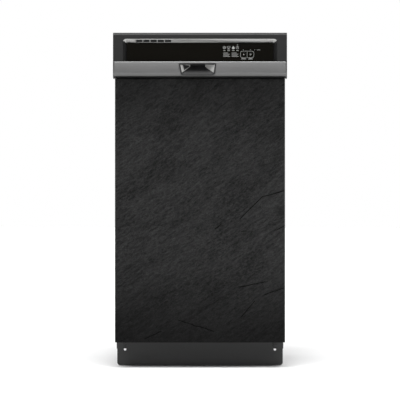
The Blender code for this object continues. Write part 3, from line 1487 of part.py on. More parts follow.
def build_latch():
    """The catch behind the fascia, and the striker on the cabinet that it holds."""
    z = STRIKER_Z
    half = CATCH_HALF_WIDTH
    slot_half, leg_half = CATCH_SLOT_HALF, STRIKER_HALF_WIDTH
    catch = box(
        "door_latch", (-half, half), (DOOR_REAR - CATCH_DEPTH, DOOR_REAR - SHEET - 0.0012),
        (HANDLE_TOP + FINGER_HEIGHT + 0.002, OVERALL_HEIGHT - MOULDING - 0.0032), "black_plastic",
        round_edges=0.0012, segments=1,
    )
    cut(
        catch,
        box(
            "slot", (-slot_half, slot_half), (DOOR_REAR - 0.019, DOOR_REAR + 0.01),
            (z - 0.004, z + 0.0045),
        ),
    )
    leg = box(
        "leg", (-leg_half, leg_half), (DOOR_REAR + 0.0022, CABINET_FRONT + SHEET - CLEARANCE),
        (z - 0.002, z + 0.009),
    )
    tongue = box(
        "tongue", (-leg_half, leg_half), (DOOR_REAR - STRIKER_REACH, DOOR_REAR + 0.003),
        (z - 0.001, z + 0.001),
    )
    fuse("latch_striker", [leg, tongue], "galvanised")
    return catch


def build_control_board():
    z = STRIP_TOP + BUTTON_ABOVE_STRIP
    face = WINDOW_FLOOR + MOULDING + CLEARANCE + COLLAR_THICKNESS + BUTTON_TRAVEL + 0.004
    left = HANDLE_X + HANDLE_TOP_WIDTH / 2 + 0.006
    board = box(
        "board", (left, WINDOW_WIDTH / 2 - 0.012), (face, face + BOARD_THICKNESS),
        (z - BOARD_BELOW, z + BOARD_ABOVE),
    )
    pieces = [board]
    for x in BUTTON_X.values():
        pieces.append(
            box(
                "switch", (x - SWITCH_HALF, x + SWITCH_HALF),
                (face - SWITCH_HEIGHT, face + BOARD_THICKNESS / 2),
                (z - SWITCH_HALF, z + SWITCH_HALF),
            )
        )
    return fuse("control_board", pieces, "circuit_green")


def build_dispenser():
    x0, x1, z0, z1 = dispenser_outline(0.0)
    rim = DISPENSER_RIM
    face = DISPENSER_PLATE
    body = box("body", (x0, x1), (DOOR_REAR - DISPENSER_DEPTH, face - 0.001), (z0, z1))
    flange = plate(
        "flange",
        rounded(
            [
                (x0 - rim, z0 - rim, 0.008), (x1 + rim, z0 - rim, 0.008),
                (x1 + rim, z1 + rim, 0.008), (x0 - rim, z1 + rim, 0.008),
            ]
        ),
        "y", DOOR_REAR + CLEARANCE, face,
    )
    dispenser = fuse("dispenser_body", [body, flange], "grey_plastic")
    lid_x = x0 + LID_INSET
    lid_z = z0 + LID_RISE
    cut(dispenser, box("cup", (lid_x + CUP_RIM, lid_x + LID_WIDTH - CUP_RIM),
                       (DOOR_REAR - DISPENSER_DEPTH + 0.002, face + 0.01),
                       (lid_z + CUP_RIM, lid_z + LID_HEIGHT - CUP_RIM)))
    lid = box(
        "dispenser_lid", (lid_x, lid_x + LID_WIDTH),
        (face + CLEARANCE, face + CLEARANCE + LID_THICKNESS), (lid_z, lid_z + LID_HEIGHT),
        "grey_plastic", round_edges=0.0012,
    )
    on_joint("lid_slide", (lid_x + LID_WIDTH / 2, face, lid_z), lid)
    cap_x = x1 - CAP_INSET - CAP_RADIUS
    seat = face + CLEARANCE
    disc = turned(
        "disc",
        [
            (0.0, seat), (CAP_RADIUS, seat), (CAP_RADIUS, seat + CAP_EDGE),
            (CAP_RADIUS - CAP_CHAMFER, seat + CAP_THICKNESS), (0.0, seat + CAP_THICKNESS),
        ][::-1],
        (cap_x, 0, DISPENSER_Z), "y",
    )
    grip = box(
        "grip", (cap_x - CAP_RADIUS * CAP_GRIP, cap_x + CAP_RADIUS * CAP_GRIP),
        (seat + 0.002, seat + 0.009), (DISPENSER_Z - 0.003, DISPENSER_Z + 0.003),
    )
    cap = fuse("rinse_aid_cap", [disc, grip], "grey_plastic")
    on_joint("rinse_cap_pivot", (cap_x, seat, DISPENSER_Z), cap)
    return dispenser, lid, cap


# ------------------------------------------------------------------ assembly
def build():
    build_base()
    build_service_ports()
    build_feet()
    build_casing()
    build_tub()
    build_gasket()
    build_toe_kick()
    _, arms = build_hinges()
    build_springs()
    build_sump()
    build_spray_pipe()
    build_base_machinery()
    spray_arm("lower_spray_arm", LOWER_ARM_Z, "grey_plastic")

    rack, wheels = build_lower_rack()
    lower = on_joint("lower_rack_slide", (0, RACK_FRONT, LOWER_Z), rack, build_cutlery_basket())
    for carried in [*(wheel.parent for wheel in wheels), build_fold_tines().parent]:
        carried.parent = lower
        carried.matrix_parent_inverse = Matrix.Translation(-lower.location)

    duct = build_upper_duct()
    upper = on_joint(
        "upper_rack_slide", (0, RACK_FRONT, UPPER_FLOOR), build_upper_rack(), duct, *build_rails(),
    )
    arm_z = SPRAY_DUCT_TOP - SPRAY_DUCT - 0.008 - CLEARANCE - SPRAY_ARM_THICKNESS
    bearing = spray_arm("upper_spray_arm", arm_z, "grey_plastic").parent
    for carried in (bearing, build_cup_shelf().parent):
        carried.parent = upper
        carried.matrix_parent_inverse = Matrix.Translation(-upper.location)

    sheets = build_door_sheets()
    insert, buttons = build_insert()
    cup, lever = build_handle()
    dispenser, lid, cap = build_dispenser()
    door = on_joint(
        "door_hinge", (0, HINGE_Y, HINGE_HEIGHT), *sheets, build_control_panel(), insert, cup,
        build_latch(), build_control_board(), dispenser, *arms,
    )
    for carried in [*(button.parent for button in buttons), lever.parent, lid.parent, cap.parent]:
        carried.parent = door
        carried.matrix_parent_inverse = Matrix.Translation(-door.location)


clear_scene()
parts = new_collection("built_in_dishwasher")
cutters = new_collection("cutters")
build()
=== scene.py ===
"""Slim built-in dishwasher with a slate door panel: the finished look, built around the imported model.

Everything is in metres, +Z up, with the door facing -Y. The sections follow the machine as it is
put together.
"""

import math

import bmesh
import bpy
import numpy as np
from mathutils import Matrix, Vector


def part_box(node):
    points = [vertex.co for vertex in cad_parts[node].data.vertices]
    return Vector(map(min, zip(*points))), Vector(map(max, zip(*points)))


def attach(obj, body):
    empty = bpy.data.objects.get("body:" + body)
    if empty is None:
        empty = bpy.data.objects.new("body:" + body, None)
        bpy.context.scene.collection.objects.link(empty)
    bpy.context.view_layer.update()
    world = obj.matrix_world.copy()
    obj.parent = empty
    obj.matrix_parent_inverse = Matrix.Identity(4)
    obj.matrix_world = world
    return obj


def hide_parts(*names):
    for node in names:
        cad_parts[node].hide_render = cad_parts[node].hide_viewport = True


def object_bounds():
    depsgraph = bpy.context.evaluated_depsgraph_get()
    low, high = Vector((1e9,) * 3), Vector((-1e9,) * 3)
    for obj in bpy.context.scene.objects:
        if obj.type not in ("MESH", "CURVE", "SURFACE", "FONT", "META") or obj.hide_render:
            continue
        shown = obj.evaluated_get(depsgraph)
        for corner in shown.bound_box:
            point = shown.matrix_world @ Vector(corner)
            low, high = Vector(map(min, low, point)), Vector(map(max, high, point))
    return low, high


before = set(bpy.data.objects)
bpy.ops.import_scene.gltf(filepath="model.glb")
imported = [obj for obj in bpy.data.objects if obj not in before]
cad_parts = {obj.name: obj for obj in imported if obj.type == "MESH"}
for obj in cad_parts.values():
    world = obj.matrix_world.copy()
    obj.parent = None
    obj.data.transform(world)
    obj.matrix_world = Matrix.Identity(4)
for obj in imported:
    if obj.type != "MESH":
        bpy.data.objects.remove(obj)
cad_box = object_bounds()


# ------------------------------------------------------------------ studio
# A matt white floor that runs out of sight, one broad soft light from above and in front, and a dim
# card behind the lens. The lens is long and stands at half the machine's height, square to its door.
class Value:
    """What one socket gives. Arithmetic on it adds the Math nodes to its material."""

    def __init__(self, material, socket):
        self.material = material
        self.socket = socket

    def math(self, operation, *terms):
        return self.material.node("ShaderNodeMath", {"operation": operation}, dict(enumerate(terms)))

    def __add__(self, other):
        return self.math("ADD", self, other)

    def __sub__(self, other):
        return self.math("SUBTRACT", self, other)

    def __rsub__(self, other):
        return self.math("SUBTRACT", other, self)

    def __mul__(self, other):
        return self.math("MULTIPLY", self, other)

    def __abs__(self):
        return self.math("ABSOLUTE", self)

    __radd__ = __add__
    __rmul__ = __mul__

    def between(self, low, high):
        """0 below low, 1 above high, and a smooth step from one to the other."""
        return self.material.node(
            "ShaderNodeMapRange", {"interpolation_type": "SMOOTHSTEP"},
            {"Value": self, "From Min": low, "From Max": high},
        )


class Material:
    """A material, or the world, that is built up a node at a time."""

    def __init__(self, name, store="materials"):
        self.data = getattr(bpy.data, store).new(name)
        self.data.use_nodes = True
        self.data.node_tree.nodes.clear()

    def node(self, kind, settings=None, inputs=None, output=0):
        made = self.data.node_tree.nodes.new(kind)
        for key, value in (settings or {}).items():
            setattr(made, key, value)
        for key, value in (inputs or {}).items():
            socket = made.inputs[key]
            if isinstance(value, Value):
                self.data.node_tree.links.new(value.socket, socket)
            elif socket.type == "RGBA":
                socket.default_value = (*value, 1.0)
            else:
                socket.default_value = value
        return Value(self, made.outputs[output]) if len(made.outputs) else made

    def place(self, stretch=(1.0, 1.0, 1.0), turn=(0.0, 0.0, 0.0)):
        """A point's place on the object, turned and then stretched."""
        here = self.node("ShaderNodeTexCoord", output="Object")
        smaller = tuple(1 / s for s in stretch)
        settings = {"vector_type": "TEXTURE"}
        return self.node(
            "ShaderNodeMapping", settings, {"Vector": here, "Scale": smaller, "Rotation": turn},
        )

    def noise(self, scale, stretch=(1.0, 1.0, 1.0), detail=4.0, rough=0.55, turn=(0.0, 0.0, 0.0)):
        where = self.place(stretch, turn)
        return self.node(
            "ShaderNodeTexNoise", {},
            {"Vector": where, "Scale": scale, "Detail": detail, "Roughness": rough},
        )

    def mix(self, amount, first, second):
        return self.node("ShaderNodeMix", {"data_type": "RGBA"}, {0: amount, 6: first, 7: second}, 2)

    def bump(self, height, distance):
        return self.node(
            "ShaderNodeBump", {}, {"Height": height, "Distance": distance, "Strength": 1.0},
        )

    def surface(self, **sockets):
        """Ends the material in one shader. A socket's name is written with _ for a space."""
        named = {key.replace("_", " "): value for key, value in sockets.items()}
        shader = self.node("ShaderNodeBsdfPrincipled", {}, named)
        self.node("ShaderNodeOutputMaterial", {}, {"Surface": shader})
        return self.data


def add_piece(name, bm, material, smooth_below=38):
    """The bmesh as a named object, shaded smooth except at its real edges."""
    bmesh.ops.recalc_face_normals(bm, faces=bm.faces)
    mesh = bpy.data.meshes.new(name)
    bm.to_mesh(mesh)
    bm.free()
    mesh.shade_smooth()
    mesh.set_sharp_from_angle(angle=math.radians(smooth_below))
    mesh.materials.append(material)
    piece = bpy.data.objects.new(name, mesh)
    bpy.context.scene.collection.objects.link(piece)
    return piece


def floor_paint():
    """Matt white paint, slightly mottled."""
    paint = Material("studio_floor")
    mottle = paint.noise(3.0)
    grain = paint.noise(220.0)
    return paint.surface(
        Base_Color=paint.mix(mottle, (0.86, 0.86, 0.86), (0.90, 0.90, 0.90)),
        Roughness=0.85 + mottle * 0.1,
        Normal=paint.bump(grain, 0.0002),
    )


FLOOR_HALF = 30.0
FLOOR_TILES = 24
bm = bmesh.new()
bmesh.ops.create_grid(bm, x_segments=FLOOR_TILES, y_segments=FLOOR_TILES, size=FLOOR_HALF)
add_piece("studio_floor", bm, floor_paint())

# The sky is bright overhead and dim at the horizon, and plain white where it is seen.
SKY_SEEN = 1.0
SKY_TOP = 0.60
SKY_SIDE = 0.12
sky = Material("studio", "worlds")
direction = sky.node("ShaderNodeTexCoord", output="Generated")
rise = sky.node("ShaderNodeSeparateXYZ", {}, {"Vector": direction}, "Z")
glow = rise.between(0.02, 0.55) * (SKY_TOP - SKY_SIDE) + SKY_SIDE
seen = sky.node("ShaderNodeLightPath", output="Is Camera Ray")
strength = seen * SKY_SEEN + (1 - seen) * glow
background = sky.node("ShaderNodeBackground", {}, {"Color": (1.0, 1.0, 1.0), "Strength": strength})
sky.node("ShaderNodeOutputWorld", {}, {"Surface": background})
bpy.context.scene.world = sky.data
bpy.context.scene.view_settings.view_transform = "Standard"


def stand(name, data, place, look_at):
    """Puts a lamp or the camera at its place, looking at a point."""
    made = bpy.data.objects.new(name, data)
    made.location = place
    made.rotation_euler = (Vector(look_at) - made.location).to_track_quat("-Z", "Y").to_euler()
    bpy.context.scene.collection.objects.link(made)
    return made


KEY_STRENGTH = 3.2
KEY_SOFTNESS = math.radians(34)
key = bpy.data.lights.new("key_light", "SUN")
key.energy = KEY_STRENGTH
key.angle = KEY_SOFTNESS
stand("key_light", key, (-0.12, -2.3, 4.6), (0, 0, 0.4))

CARD_WATTS = 40
CARD_WIDTH = 2.0
CARD_HEIGHT = 1.6
card = bpy.data.lights.new("front_card", "AREA")
card.shape = "RECTANGLE"
card.size = CARD_WIDTH
card.size_y = CARD_HEIGHT
card.energy = CARD_WATTS
stand("front_card", card, (0.0, -7.0, 3.6), (0, -0.28, 0.60))

LENS = 210.0
SENSOR = 36.0
CAMERA_BACK = 6.0
CAMERA_HEIGHT = 0.434
camera = bpy.data.cameras.new("camera")
camera.lens = LENS
camera.sensor_width = SENSOR
camera_place = (0.0, cad_box[0][1] - CAMERA_BACK, CAMERA_HEIGHT)
bpy.context.scene.camera = stand("camera", camera, camera_place, (0.0, 0.0, CAMERA_HEIGHT))


# ------------------------------------------------------------------ base tray
# The machine stands on a deep tray moulded in black polypropylene with stiffening ribs down its walls.
# It carries the feet and the pumps, and the sheet steel above is screwed to its rim.
def moulded(name, colour, roughness, grain=0.00003):
    """Moulded plastic: a fine spark-eroded grain, a slightly uneven sheen and a few pale scuffs."""
    plastic = Material(name)
    cloud = plastic.noise(14.0)
    scuffs = plastic.noise(46.0, stretch=(1.0, 1.0, 5.0), detail=8.0, rough=0.7).between(0.64, 0.74)
    dark = tuple(c * 0.85 for c in colour)
    pale = tuple(c * 1.3 + 0.012 for c in colour)
    return plastic.surface(
        Base_Color=plastic.mix(scuffs * 0.5, plastic.mix(cloud, dark, colour), pale),
        Roughness=cloud * 0.12 + scuffs * 0.12 + (roughness - 0.06),
        Normal=plastic.bump(plastic.noise(1300.0, detail=2.0), grain),
    )


def dress(node, material, edge=0.0):
    """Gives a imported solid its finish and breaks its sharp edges."""
    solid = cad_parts[node]
    solid.data.materials.clear()
    solid.data.materials.append(material)
    if edge:
        weld = solid.modifiers.new("Weld", "WELD")
        weld.merge_threshold = 1e-6
        bevel = solid.modifiers.new("Bevel", "BEVEL")
        bevel.width = edge
        bevel.segments = 2
        bevel.limit_method = "ANGLE"
        bevel.angle_limit = math.radians(35)
        bevel.harden_normals = True


def block(bm, low, high, edge=0.0, steps=2):
    """Adds a block between two corners, its edges rounded."""
    low, high = Vector(low), Vector(high)
    placed = Matrix.Translation((low + high) / 2) @ Matrix.Diagonal((*(high - low), 1.0))
    made = bmesh.ops.create_cube(bm, size=1.0, matrix=placed)
    if edge:
        edges = list({e for v in made["verts"] for e in v.link_edges})
        bmesh.ops.bevel(bm, geom=edges, offset=edge, segments=steps, profile=0.5, affect="EDGES")


def fit(piece, body, slot, *nodes):
    """The piece goes with a body and stands for the solids named. The slot is not used."""
    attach(piece, body)
    if nodes:
        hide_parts(*nodes)


BLACK_POLYPROPYLENE = (0.018, 0.018, 0.019)
TRAY_RIB_PITCH = 0.030
TRAY_RIB = 0.0022
TRAY_RIB_PROUD = 0.0011
black_plastic = moulded("black_plastic", BLACK_POLYPROPYLENE, 0.48)
tray_low, tray_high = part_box("base_tray")
dress("base_tray", black_plastic, 0.0008)
bm = bmesh.new()
rib_z = (tray_low.z + 0.006, tray_high.z - 0.012)
for side in (tray_low.x - TRAY_RIB_PROUD, tray_high.x - 0.0003):
    for i in range(int((tray_high.y - tray_low.y) / TRAY_RIB_PITCH)):
        y = tray_low.y + (i + 0.75) * TRAY_RIB_PITCH
        high = (side + TRAY_RIB_PROUD + 0.0003, y + TRAY_RIB, rib_z[1])
        block(bm, (side, y, rib_z[0]), high, TRAY_RIB / 3)
for side in (tray_low.x - TRAY_RIB_PROUD, tray_high.x - 0.0003):
    low = (side, tray_low.y + 0.001, tray_high.z - 0.0100)
    high = (side + TRAY_RIB_PROUD + 0.0003, tray_high.y - 0.001, tray_high.z - 0.0075)
    block(bm, low, high, TRAY_RIB / 3)
fit(add_piece("base_tray_ribs", bm, black_plastic), "cabinet", "black_plastic")


# ------------------------------------------------------------------ levelling feet
# Four feet screw up into the tray. Each is one moulding: a coarse thread, a hexagon for the spanner
# and a wide foot with a softened edge.
def toward(axis):
    """Turns +Z to the axis x, y or z."""
    ends = {"x": Vector((1, 0, 0)), "y": Vector((0, 1, 0)), "z": Vector((0, 0, 1))}
    return Vector((0, 0, 1)).rotation_difference(ends[axis]).to_matrix().to_4x4()


def turn(bm, profile, centre, axis="z", around=48):
    """Adds a turned solid. The profile is (radius, height) pairs from one end to the other."""
    rim = [bm.verts.new((radius, 0.0, height)) for radius, height in profile]
    edges = [bm.edges.new(pair) for pair in zip(rim, rim[1:])]
    before = set(bm.verts) - set(rim)
    bmesh.ops.spin(
        bm, geom=rim + edges, cent=(0, 0, 0), axis=(0, 0, 1), angle=2 * math.pi, steps=around,
        use_merge=True,
    )
    made = [v for v in bm.verts if v not in before]
    bmesh.ops.remove_doubles(bm, verts=made, dist=1e-7)
    made = [v for v in bm.verts if v not in before]
    bmesh.ops.transform(bm, matrix=Matrix.Translation(centre) @ toward(axis), verts=made)


def thread(bm, centre, radius, depth, pitch, low, high, around=24, per_turn=6):
    """Adds an upright threaded bar: rings whose radius rises and falls with the helix."""
    rows = int((high - low) / pitch * per_turn)
    rings = []
    for i in range(rows + 1):
        z = low + (high - low) * i / rows
        ring = []
        for k in range(around):
            wave = (z / pitch + k / around) % 1.0
            crest = abs(2 * wave - 1)
            r = radius - depth * crest
            angle = 2 * math.pi * k / around
            ring.append(bm.verts.new((r * math.cos(angle), r * math.sin(angle), z)))
        rings.append(ring)
    for first, second in zip(rings, rings[1:]):
        for k in range(around):
            j = (k + 1) % around
            bm.faces.new((first[k], first[j], second[j], second[k]))
    bm.faces.new(rings[0])
    bm.faces.new(rings[-1])
    made = [v for ring in rings for v in ring]
    bmesh.ops.transform(bm, matrix=Matrix.Translation(centre), verts=made)


FOOT_STEM = 0.0060
FOOT_THREAD = 0.0009
FOOT_PITCH = 0.0030
FOOT_HEX = 0.0105
for foot in ("foot_front_left", "foot_front_right", "foot_rear_left", "foot_rear_right"):
    low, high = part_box(foot)
    centre = ((low.x + high.x) / 2, (low.y + high.y) / 2, 0.0)
    radius = (high.x - low.x) / 2
    bm = bmesh.new()
    turn(
        bm,
        [
            (0, 0.0004), (radius * 0.55, 0.0004), (radius * 0.60, 0), (radius - 0.0015, 0),
            (radius, 0.0015), (radius, 0.0042), (radius - 0.0012, 0.0055), (radius * 0.62, 0.0100),
            (0, 0.0102),
        ],
        centre,
    )
    turn(
        bm,
        [
            (0, 0.0098), (FOOT_HEX, 0.0098), (FOOT_HEX, 0.0165), (FOOT_HEX - 0.0012, 0.0176),
            (0, 0.0176),
        ],
        centre, around=6,
    )
    thread(bm, centre, FOOT_STEM, FOOT_THREAD, FOOT_PITCH, 0.017, high.z)
    fit(add_piece(f"{foot}_screw", bm, black_plastic, 30), foot, "black_plastic", foot)


# ------------------------------------------------------------------ pumps, softener, valve, mains gland
# Between the tray and the tub stand the circulation pump, the drain pump and the softener's salt tank.
# At the back the inlet valve's threaded spout and the rubber mains gland come out through the tray's wall.
GREY_POLYPROPYLENE = (0.33, 0.34, 0.35)
grey_plastic = moulded("grey_plastic", GREY_POLYPROPYLENE, 0.46)
RUBBER_BLACK = (0.024, 0.024, 0.025)
rubber = moulded("rubber", RUBBER_BLACK, 0.78, 0.00006)


for node in ("circulation_pump", "drain_pump"):
    dress(node, black_plastic, 0.0010)
for node in ("water_softener", "inlet_valve", "spray_feed_pipe"):
    dress(node, grey_plastic, 0.0006)
dress("power_inlet", rubber, 0.0006)
valve_low, valve_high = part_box("inlet_valve")
VALVE_THREAD_RADIUS = 0.0131
VALVE_BORE = 0.0090
VALVE_HEIGHT = 0.085
VALVE_PITCH = 0.0018
VALVE_TURNS = 8
valve_centre = ((valve_low.x + valve_high.x) / 2, 0.0, VALVE_HEIGHT)
bm = bmesh.new()
profile = []
for i in range(VALVE_TURNS):
    y = valve_high.y - 0.0006 - i * VALVE_PITCH
    profile += [(VALVE_THREAD_RADIUS + 0.0001, y), (VALVE_THREAD_RADIUS - 0.0010, y - VALVE_PITCH / 2)]
turn(bm, [(VALVE_BORE, valve_high.y), (VALVE_THREAD_RADIUS - 0.0004, valve_high.y), *profile,
          (VALVE_BORE, profile[-1][1]), (VALVE_BORE, valve_high.y)], valve_centre, "y")
fit(add_piece("inlet_valve_thread", bm, grey_plastic, 25), "cabinet", "grey_plastic")


# ------------------------------------------------------------------ side, back and top sheets
# Thin galvanised sheets fold round the tub. Long pressed beads stiffen them, and hexagon-headed screws
# hold them to the base and to each other.
def galvanised_sheet():
    """Zinc coating: crystals that catch the light differently, with faint rolling marks and smears."""
    zinc = Material("galvanised")
    where = zinc.place()
    crystals = zinc.node(
        "ShaderNodeTexVoronoi", {"feature": "F1"}, {"Vector": where, "Scale": 75.0}, "Color",
    )
    facet = zinc.node("ShaderNodeSeparateColor", {}, {"Color": crystals})
    rolling = zinc.noise(9.0, stretch=(40.0, 1.0, 1.0), detail=3.0)
    smears = zinc.noise(7.0, detail=6.0)
    return zinc.surface(
        Base_Color=zinc.mix(facet * 0.7 + smears * 0.3, (0.40, 0.41, 0.42), (0.60, 0.61, 0.62)),
        Metallic=1.0,
        Roughness=facet * 0.14 + smears * 0.12 + 0.28,
        Normal=zinc.bump(facet * 0.3 + rolling, 0.00003),
    )


def circle(radius, sides):
    """A round cross-section."""
    return [
        (radius * math.cos(2 * math.pi * k / sides), radius * math.sin(2 * math.pi * k / sides))
        for k in range(sides)
    ]


def sweep(bm, path, section, closed=False, up=None):
    """Adds a bar of one cross-section along a path. The section's second number is along up."""
    path = [Vector(p) for p in path]
    count = len(path)
    fixed = Vector(up) if up else None
    carried = fixed
    rings = []
    for i, here in enumerate(path):
        before = path[i - 1] if closed or i else here
        after = path[(i + 1) % count] if closed or i < count - 1 else here
        along = (after - before).normalized()
        if carried is None:
            carried = Vector((0, 0, 1)) if abs(along.z) < 0.9 else Vector((0, 1, 0))
        lift = fixed or carried
        carried = (lift - along * lift.dot(along)).normalized()
        across = along.cross(carried)
        turn_by = (
            here - before
        ).angle(after - here) if 0 < (here - before).length and 0 < (after - here).length else 0
        wider = 1 / max(math.cos(turn_by / 2), 0.5)
        inward = (after - here).normalized() - (
            here - before
        ).normalized() if turn_by > 1e-4 else Vector()
        mitre = inward.normalized() if inward.length else Vector()
        ring = []
        for a, b in section:
            offset = across * a + carried * b
            offset += mitre * offset.dot(mitre) * (wider - 1)
            ring.append(bm.verts.new(here + offset))
        rings.append(ring)
    pairs = list(zip(rings, rings[1:])) + ([(rings[-1], rings[0])] if closed else [])
    for first, second in pairs:
        for k in range(len(section)):
            j = (k + 1) % len(section)
            bm.faces.new((first[k], first[j], second[j], second[k]))
    if not closed:
        bm.faces.new(rings[0])
        bm.faces.new(rings[-1])


def rounded_path(corners, bend, closed=True, steps=5):
    """The corners' path with each corner turned into a bend that starts that far from it."""
    corners = [Vector(c) for c in corners]
    count = len(corners)
    bends = bend if isinstance(bend, tuple) else (bend,) * count
    path = []
    for i, here in enumerate(corners):
        if not closed and i in (0, count - 1):
            path.append(here)
            continue
        start = here + (corners[i - 1] - here).normalized() * bends[i]
        end = here + (corners[(i + 1) % count] - here).normalized() * bends[i]
        for k in range(steps + 1):
            t = k / steps
            path.append(start * (1 - t) ** 2 + here * 2 * t * (1 - t) + end * t ** 2)
    return path


def bead_section(width, height, sink=0.0004):
    """The low arch of a pressed bead, its foot sunk in the sheet."""
    half = width / 2
    arch = [
        (half * math.cos(math.pi * k / 8), height * math.sin(math.pi * k / 8) ** 0.7)
        for k in range(9)
    ]
    return [*arch, (-half, -sink), (half, -sink)]


def framed(plane, level, u_span, v_span):
    """The four corners of a rectangle in the plane x, y or z at a level."""
    order = {
        "x": lambda u, v: (level, u, v), "y": lambda u, v: (u, level, v), "z": lambda u,
        v: (u, v, level),
    }
    (u0, u1), (v0, v1) = u_span, v_span
    return [order[plane](u, v) for u, v in ((u0, v0), (u1, v0), (u1, v1), (u0, v1))]


def hex_screw(bm, place, direction, size):
    """Adds a hexagon head on its washer flange, standing out along a direction."""
    axis = max("xyz", key=lambda a: abs(getattr(Vector(direction), a)))
    sign = 1 if getattr(Vector(direction), axis) > 0 else -1
    flange = [
        (0, -0.0004), (size * 1.35, -0.0004), (size * 1.35, 0.0004), (size * 1.05, 0.0009),
        (0, 0.0009),
    ]
    head = [(0, 0.0008), (size, 0.0008), (size, 0.0022), (size * 0.9, 0.0026), (0, 0.0026)]
    turn(bm, [(r, sign * h) for r, h in flange], place, axis, 20)
    turn(bm, [(r, sign * h) for r, h in head], place, axis, 6)


galvanised = galvanised_sheet()
BEAD_WIDTH = 0.009
BEAD_HEIGHT = 0.0013
BEAD_BEND = 0.020
SHEET_SCREW = 0.0028
SIDE_BEAD_ROWS = ((0.190, 0.470), (0.505, 0.815))
SIDE_RIB_HEIGHTS = (0.150, 0.840)
SIDE_SCREW_HEIGHTS = (0.225, 0.487, 0.832)
BASE_SCREW_PLACES = (-0.120, 0.060, 0.240)
side_low, side_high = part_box("side_panel_right")
for side, sign in (("left", -1), ("right", 1)):
    panel = f"side_panel_{side}"
    dress(panel, galvanised)
    face = sign * side_high.x
    bm = bmesh.new()
    section = bead_section(BEAD_WIDTH, BEAD_HEIGHT)
    middle = (side_low.y + side_high.y) / 2
    for y_span in ((side_low.y + 0.045, middle - 0.022), (middle + 0.022, side_high.y - 0.035)):
        for z_span in SIDE_BEAD_ROWS:
            corners = framed("x", face, y_span, z_span)
            sweep(bm, rounded_path(corners, BEAD_BEND), section, closed=True, up=(sign, 0, 0))
    for z in SIDE_RIB_HEIGHTS:
        sweep(
            bm, [(face, side_low.y + 0.06, z), (face, side_high.y - 0.04, z)], section,
            up=(sign, 0, 0),
        )
    fit(add_piece(f"{panel}_beads", bm, galvanised), "cabinet", "galvanised")
    bm = bmesh.new()
    for y in (side_low.y + 0.012, side_high.y - 0.012):
        for z in SIDE_SCREW_HEIGHTS:
            hex_screw(bm, (face, y, z), (sign, 0, 0), SHEET_SCREW)
    for y in BASE_SCREW_PLACES:
        hex_screw(bm, (face, y, side_low.z + 0.010), (sign, 0, 0), SHEET_SCREW)
    fit(add_piece(f"{panel}_screws", bm, galvanised, 25), "cabinet", "galvanised")

back_low, back_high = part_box("back_panel")
dress("back_panel", galvanised)
BACK_BEAD_HEIGHT = 0.0005
BACK_BEAD_ROWS = ((0.180, 0.470), (0.505, 0.815))
bm = bmesh.new()
section = bead_section(BEAD_WIDTH, BACK_BEAD_HEIGHT)
for x_span in ((back_low.x + 0.035, -0.016), (0.016, back_high.x - 0.035)):
    for z_span in BACK_BEAD_ROWS:
        corners = framed("y", back_high.y, x_span, z_span)
        sweep(bm, rounded_path(corners, BEAD_BEND), section, closed=True, up=(0, 1, 0))
fit(add_piece("back_panel_beads", bm, galvanised), "cabinet", "galvanised")

top_low, top_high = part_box("top_panel")
dress("top_panel", galvanised)
TOP_BEAD_HEIGHT = 0.0011
bm = bmesh.new()
section = bead_section(BEAD_WIDTH, TOP_BEAD_HEIGHT)
for x_span in ((top_low.x + 0.040, -0.020), (0.020, top_high.x - 0.040)):
    corners = framed("z", top_high.z, x_span, (top_low.y + 0.060, top_high.y - 0.040))
    sweep(bm, rounded_path(corners, BEAD_BEND), section, closed=True, up=(0, 0, 1))
fit(add_piece("top_panel_beads", bm, galvanised), "cabinet", "galvanised")


# ------------------------------------------------------------------ wash tub
# The tub is deep-drawn in one piece from stainless sheet: round corners all over, a shallow basin round
# the sump, a flange round the mouth for the seal, and long beads in its walls and roof.
STEEL_TONE = 0.62


def stainless_sheet(name, stretch):
    """Brushed stainless steel, with the brushing along the direction that is stretched least."""
    steel = Material(name)
    lines = steel.noise(6.0, stretch=stretch, detail=5.0, rough=0.65)
    broad = steel.noise(5.0, detail=3.0)
    marks = steel.noise(38.0, detail=7.0, rough=0.7).between(0.60, 0.78)
    return steel.surface(
        Base_Color=steel.mix(
            lines * 0.6 + broad * 0.4, (STEEL_TONE * 0.84,) * 3,
            (STEEL_TONE, STEEL_TONE, STEEL_TONE * 0.99),
        ),
        Metallic=1.0, Roughness=lines * 0.12 + broad * 0.10 + marks * 0.12 + 0.14,
        Normal=steel.bump(lines, 0.000035),
    )


def cut(piece, cutters):
    """Takes the cutters' bmesh out of the piece for good."""
    mesh = bpy.data.meshes.new("cutters")
    bmesh.ops.recalc_face_normals(cutters, faces=cutters.faces)
    cutters.to_mesh(mesh)
    cutters.free()
    tool = bpy.data.objects.new("cutters", mesh)
    bpy.context.scene.collection.objects.link(tool)
    difference = piece.modifiers.new("Cut", "BOOLEAN")
    difference.operation = "DIFFERENCE"
    difference.object = tool
    bpy.context.view_layer.update()
    result = bpy.data.meshes.new_from_object(piece.evaluated_get(bpy.context.evaluated_depsgraph_get()))
    piece.modifiers.clear()
    piece.data = result
    bpy.data.objects.remove(tool)
    return piece


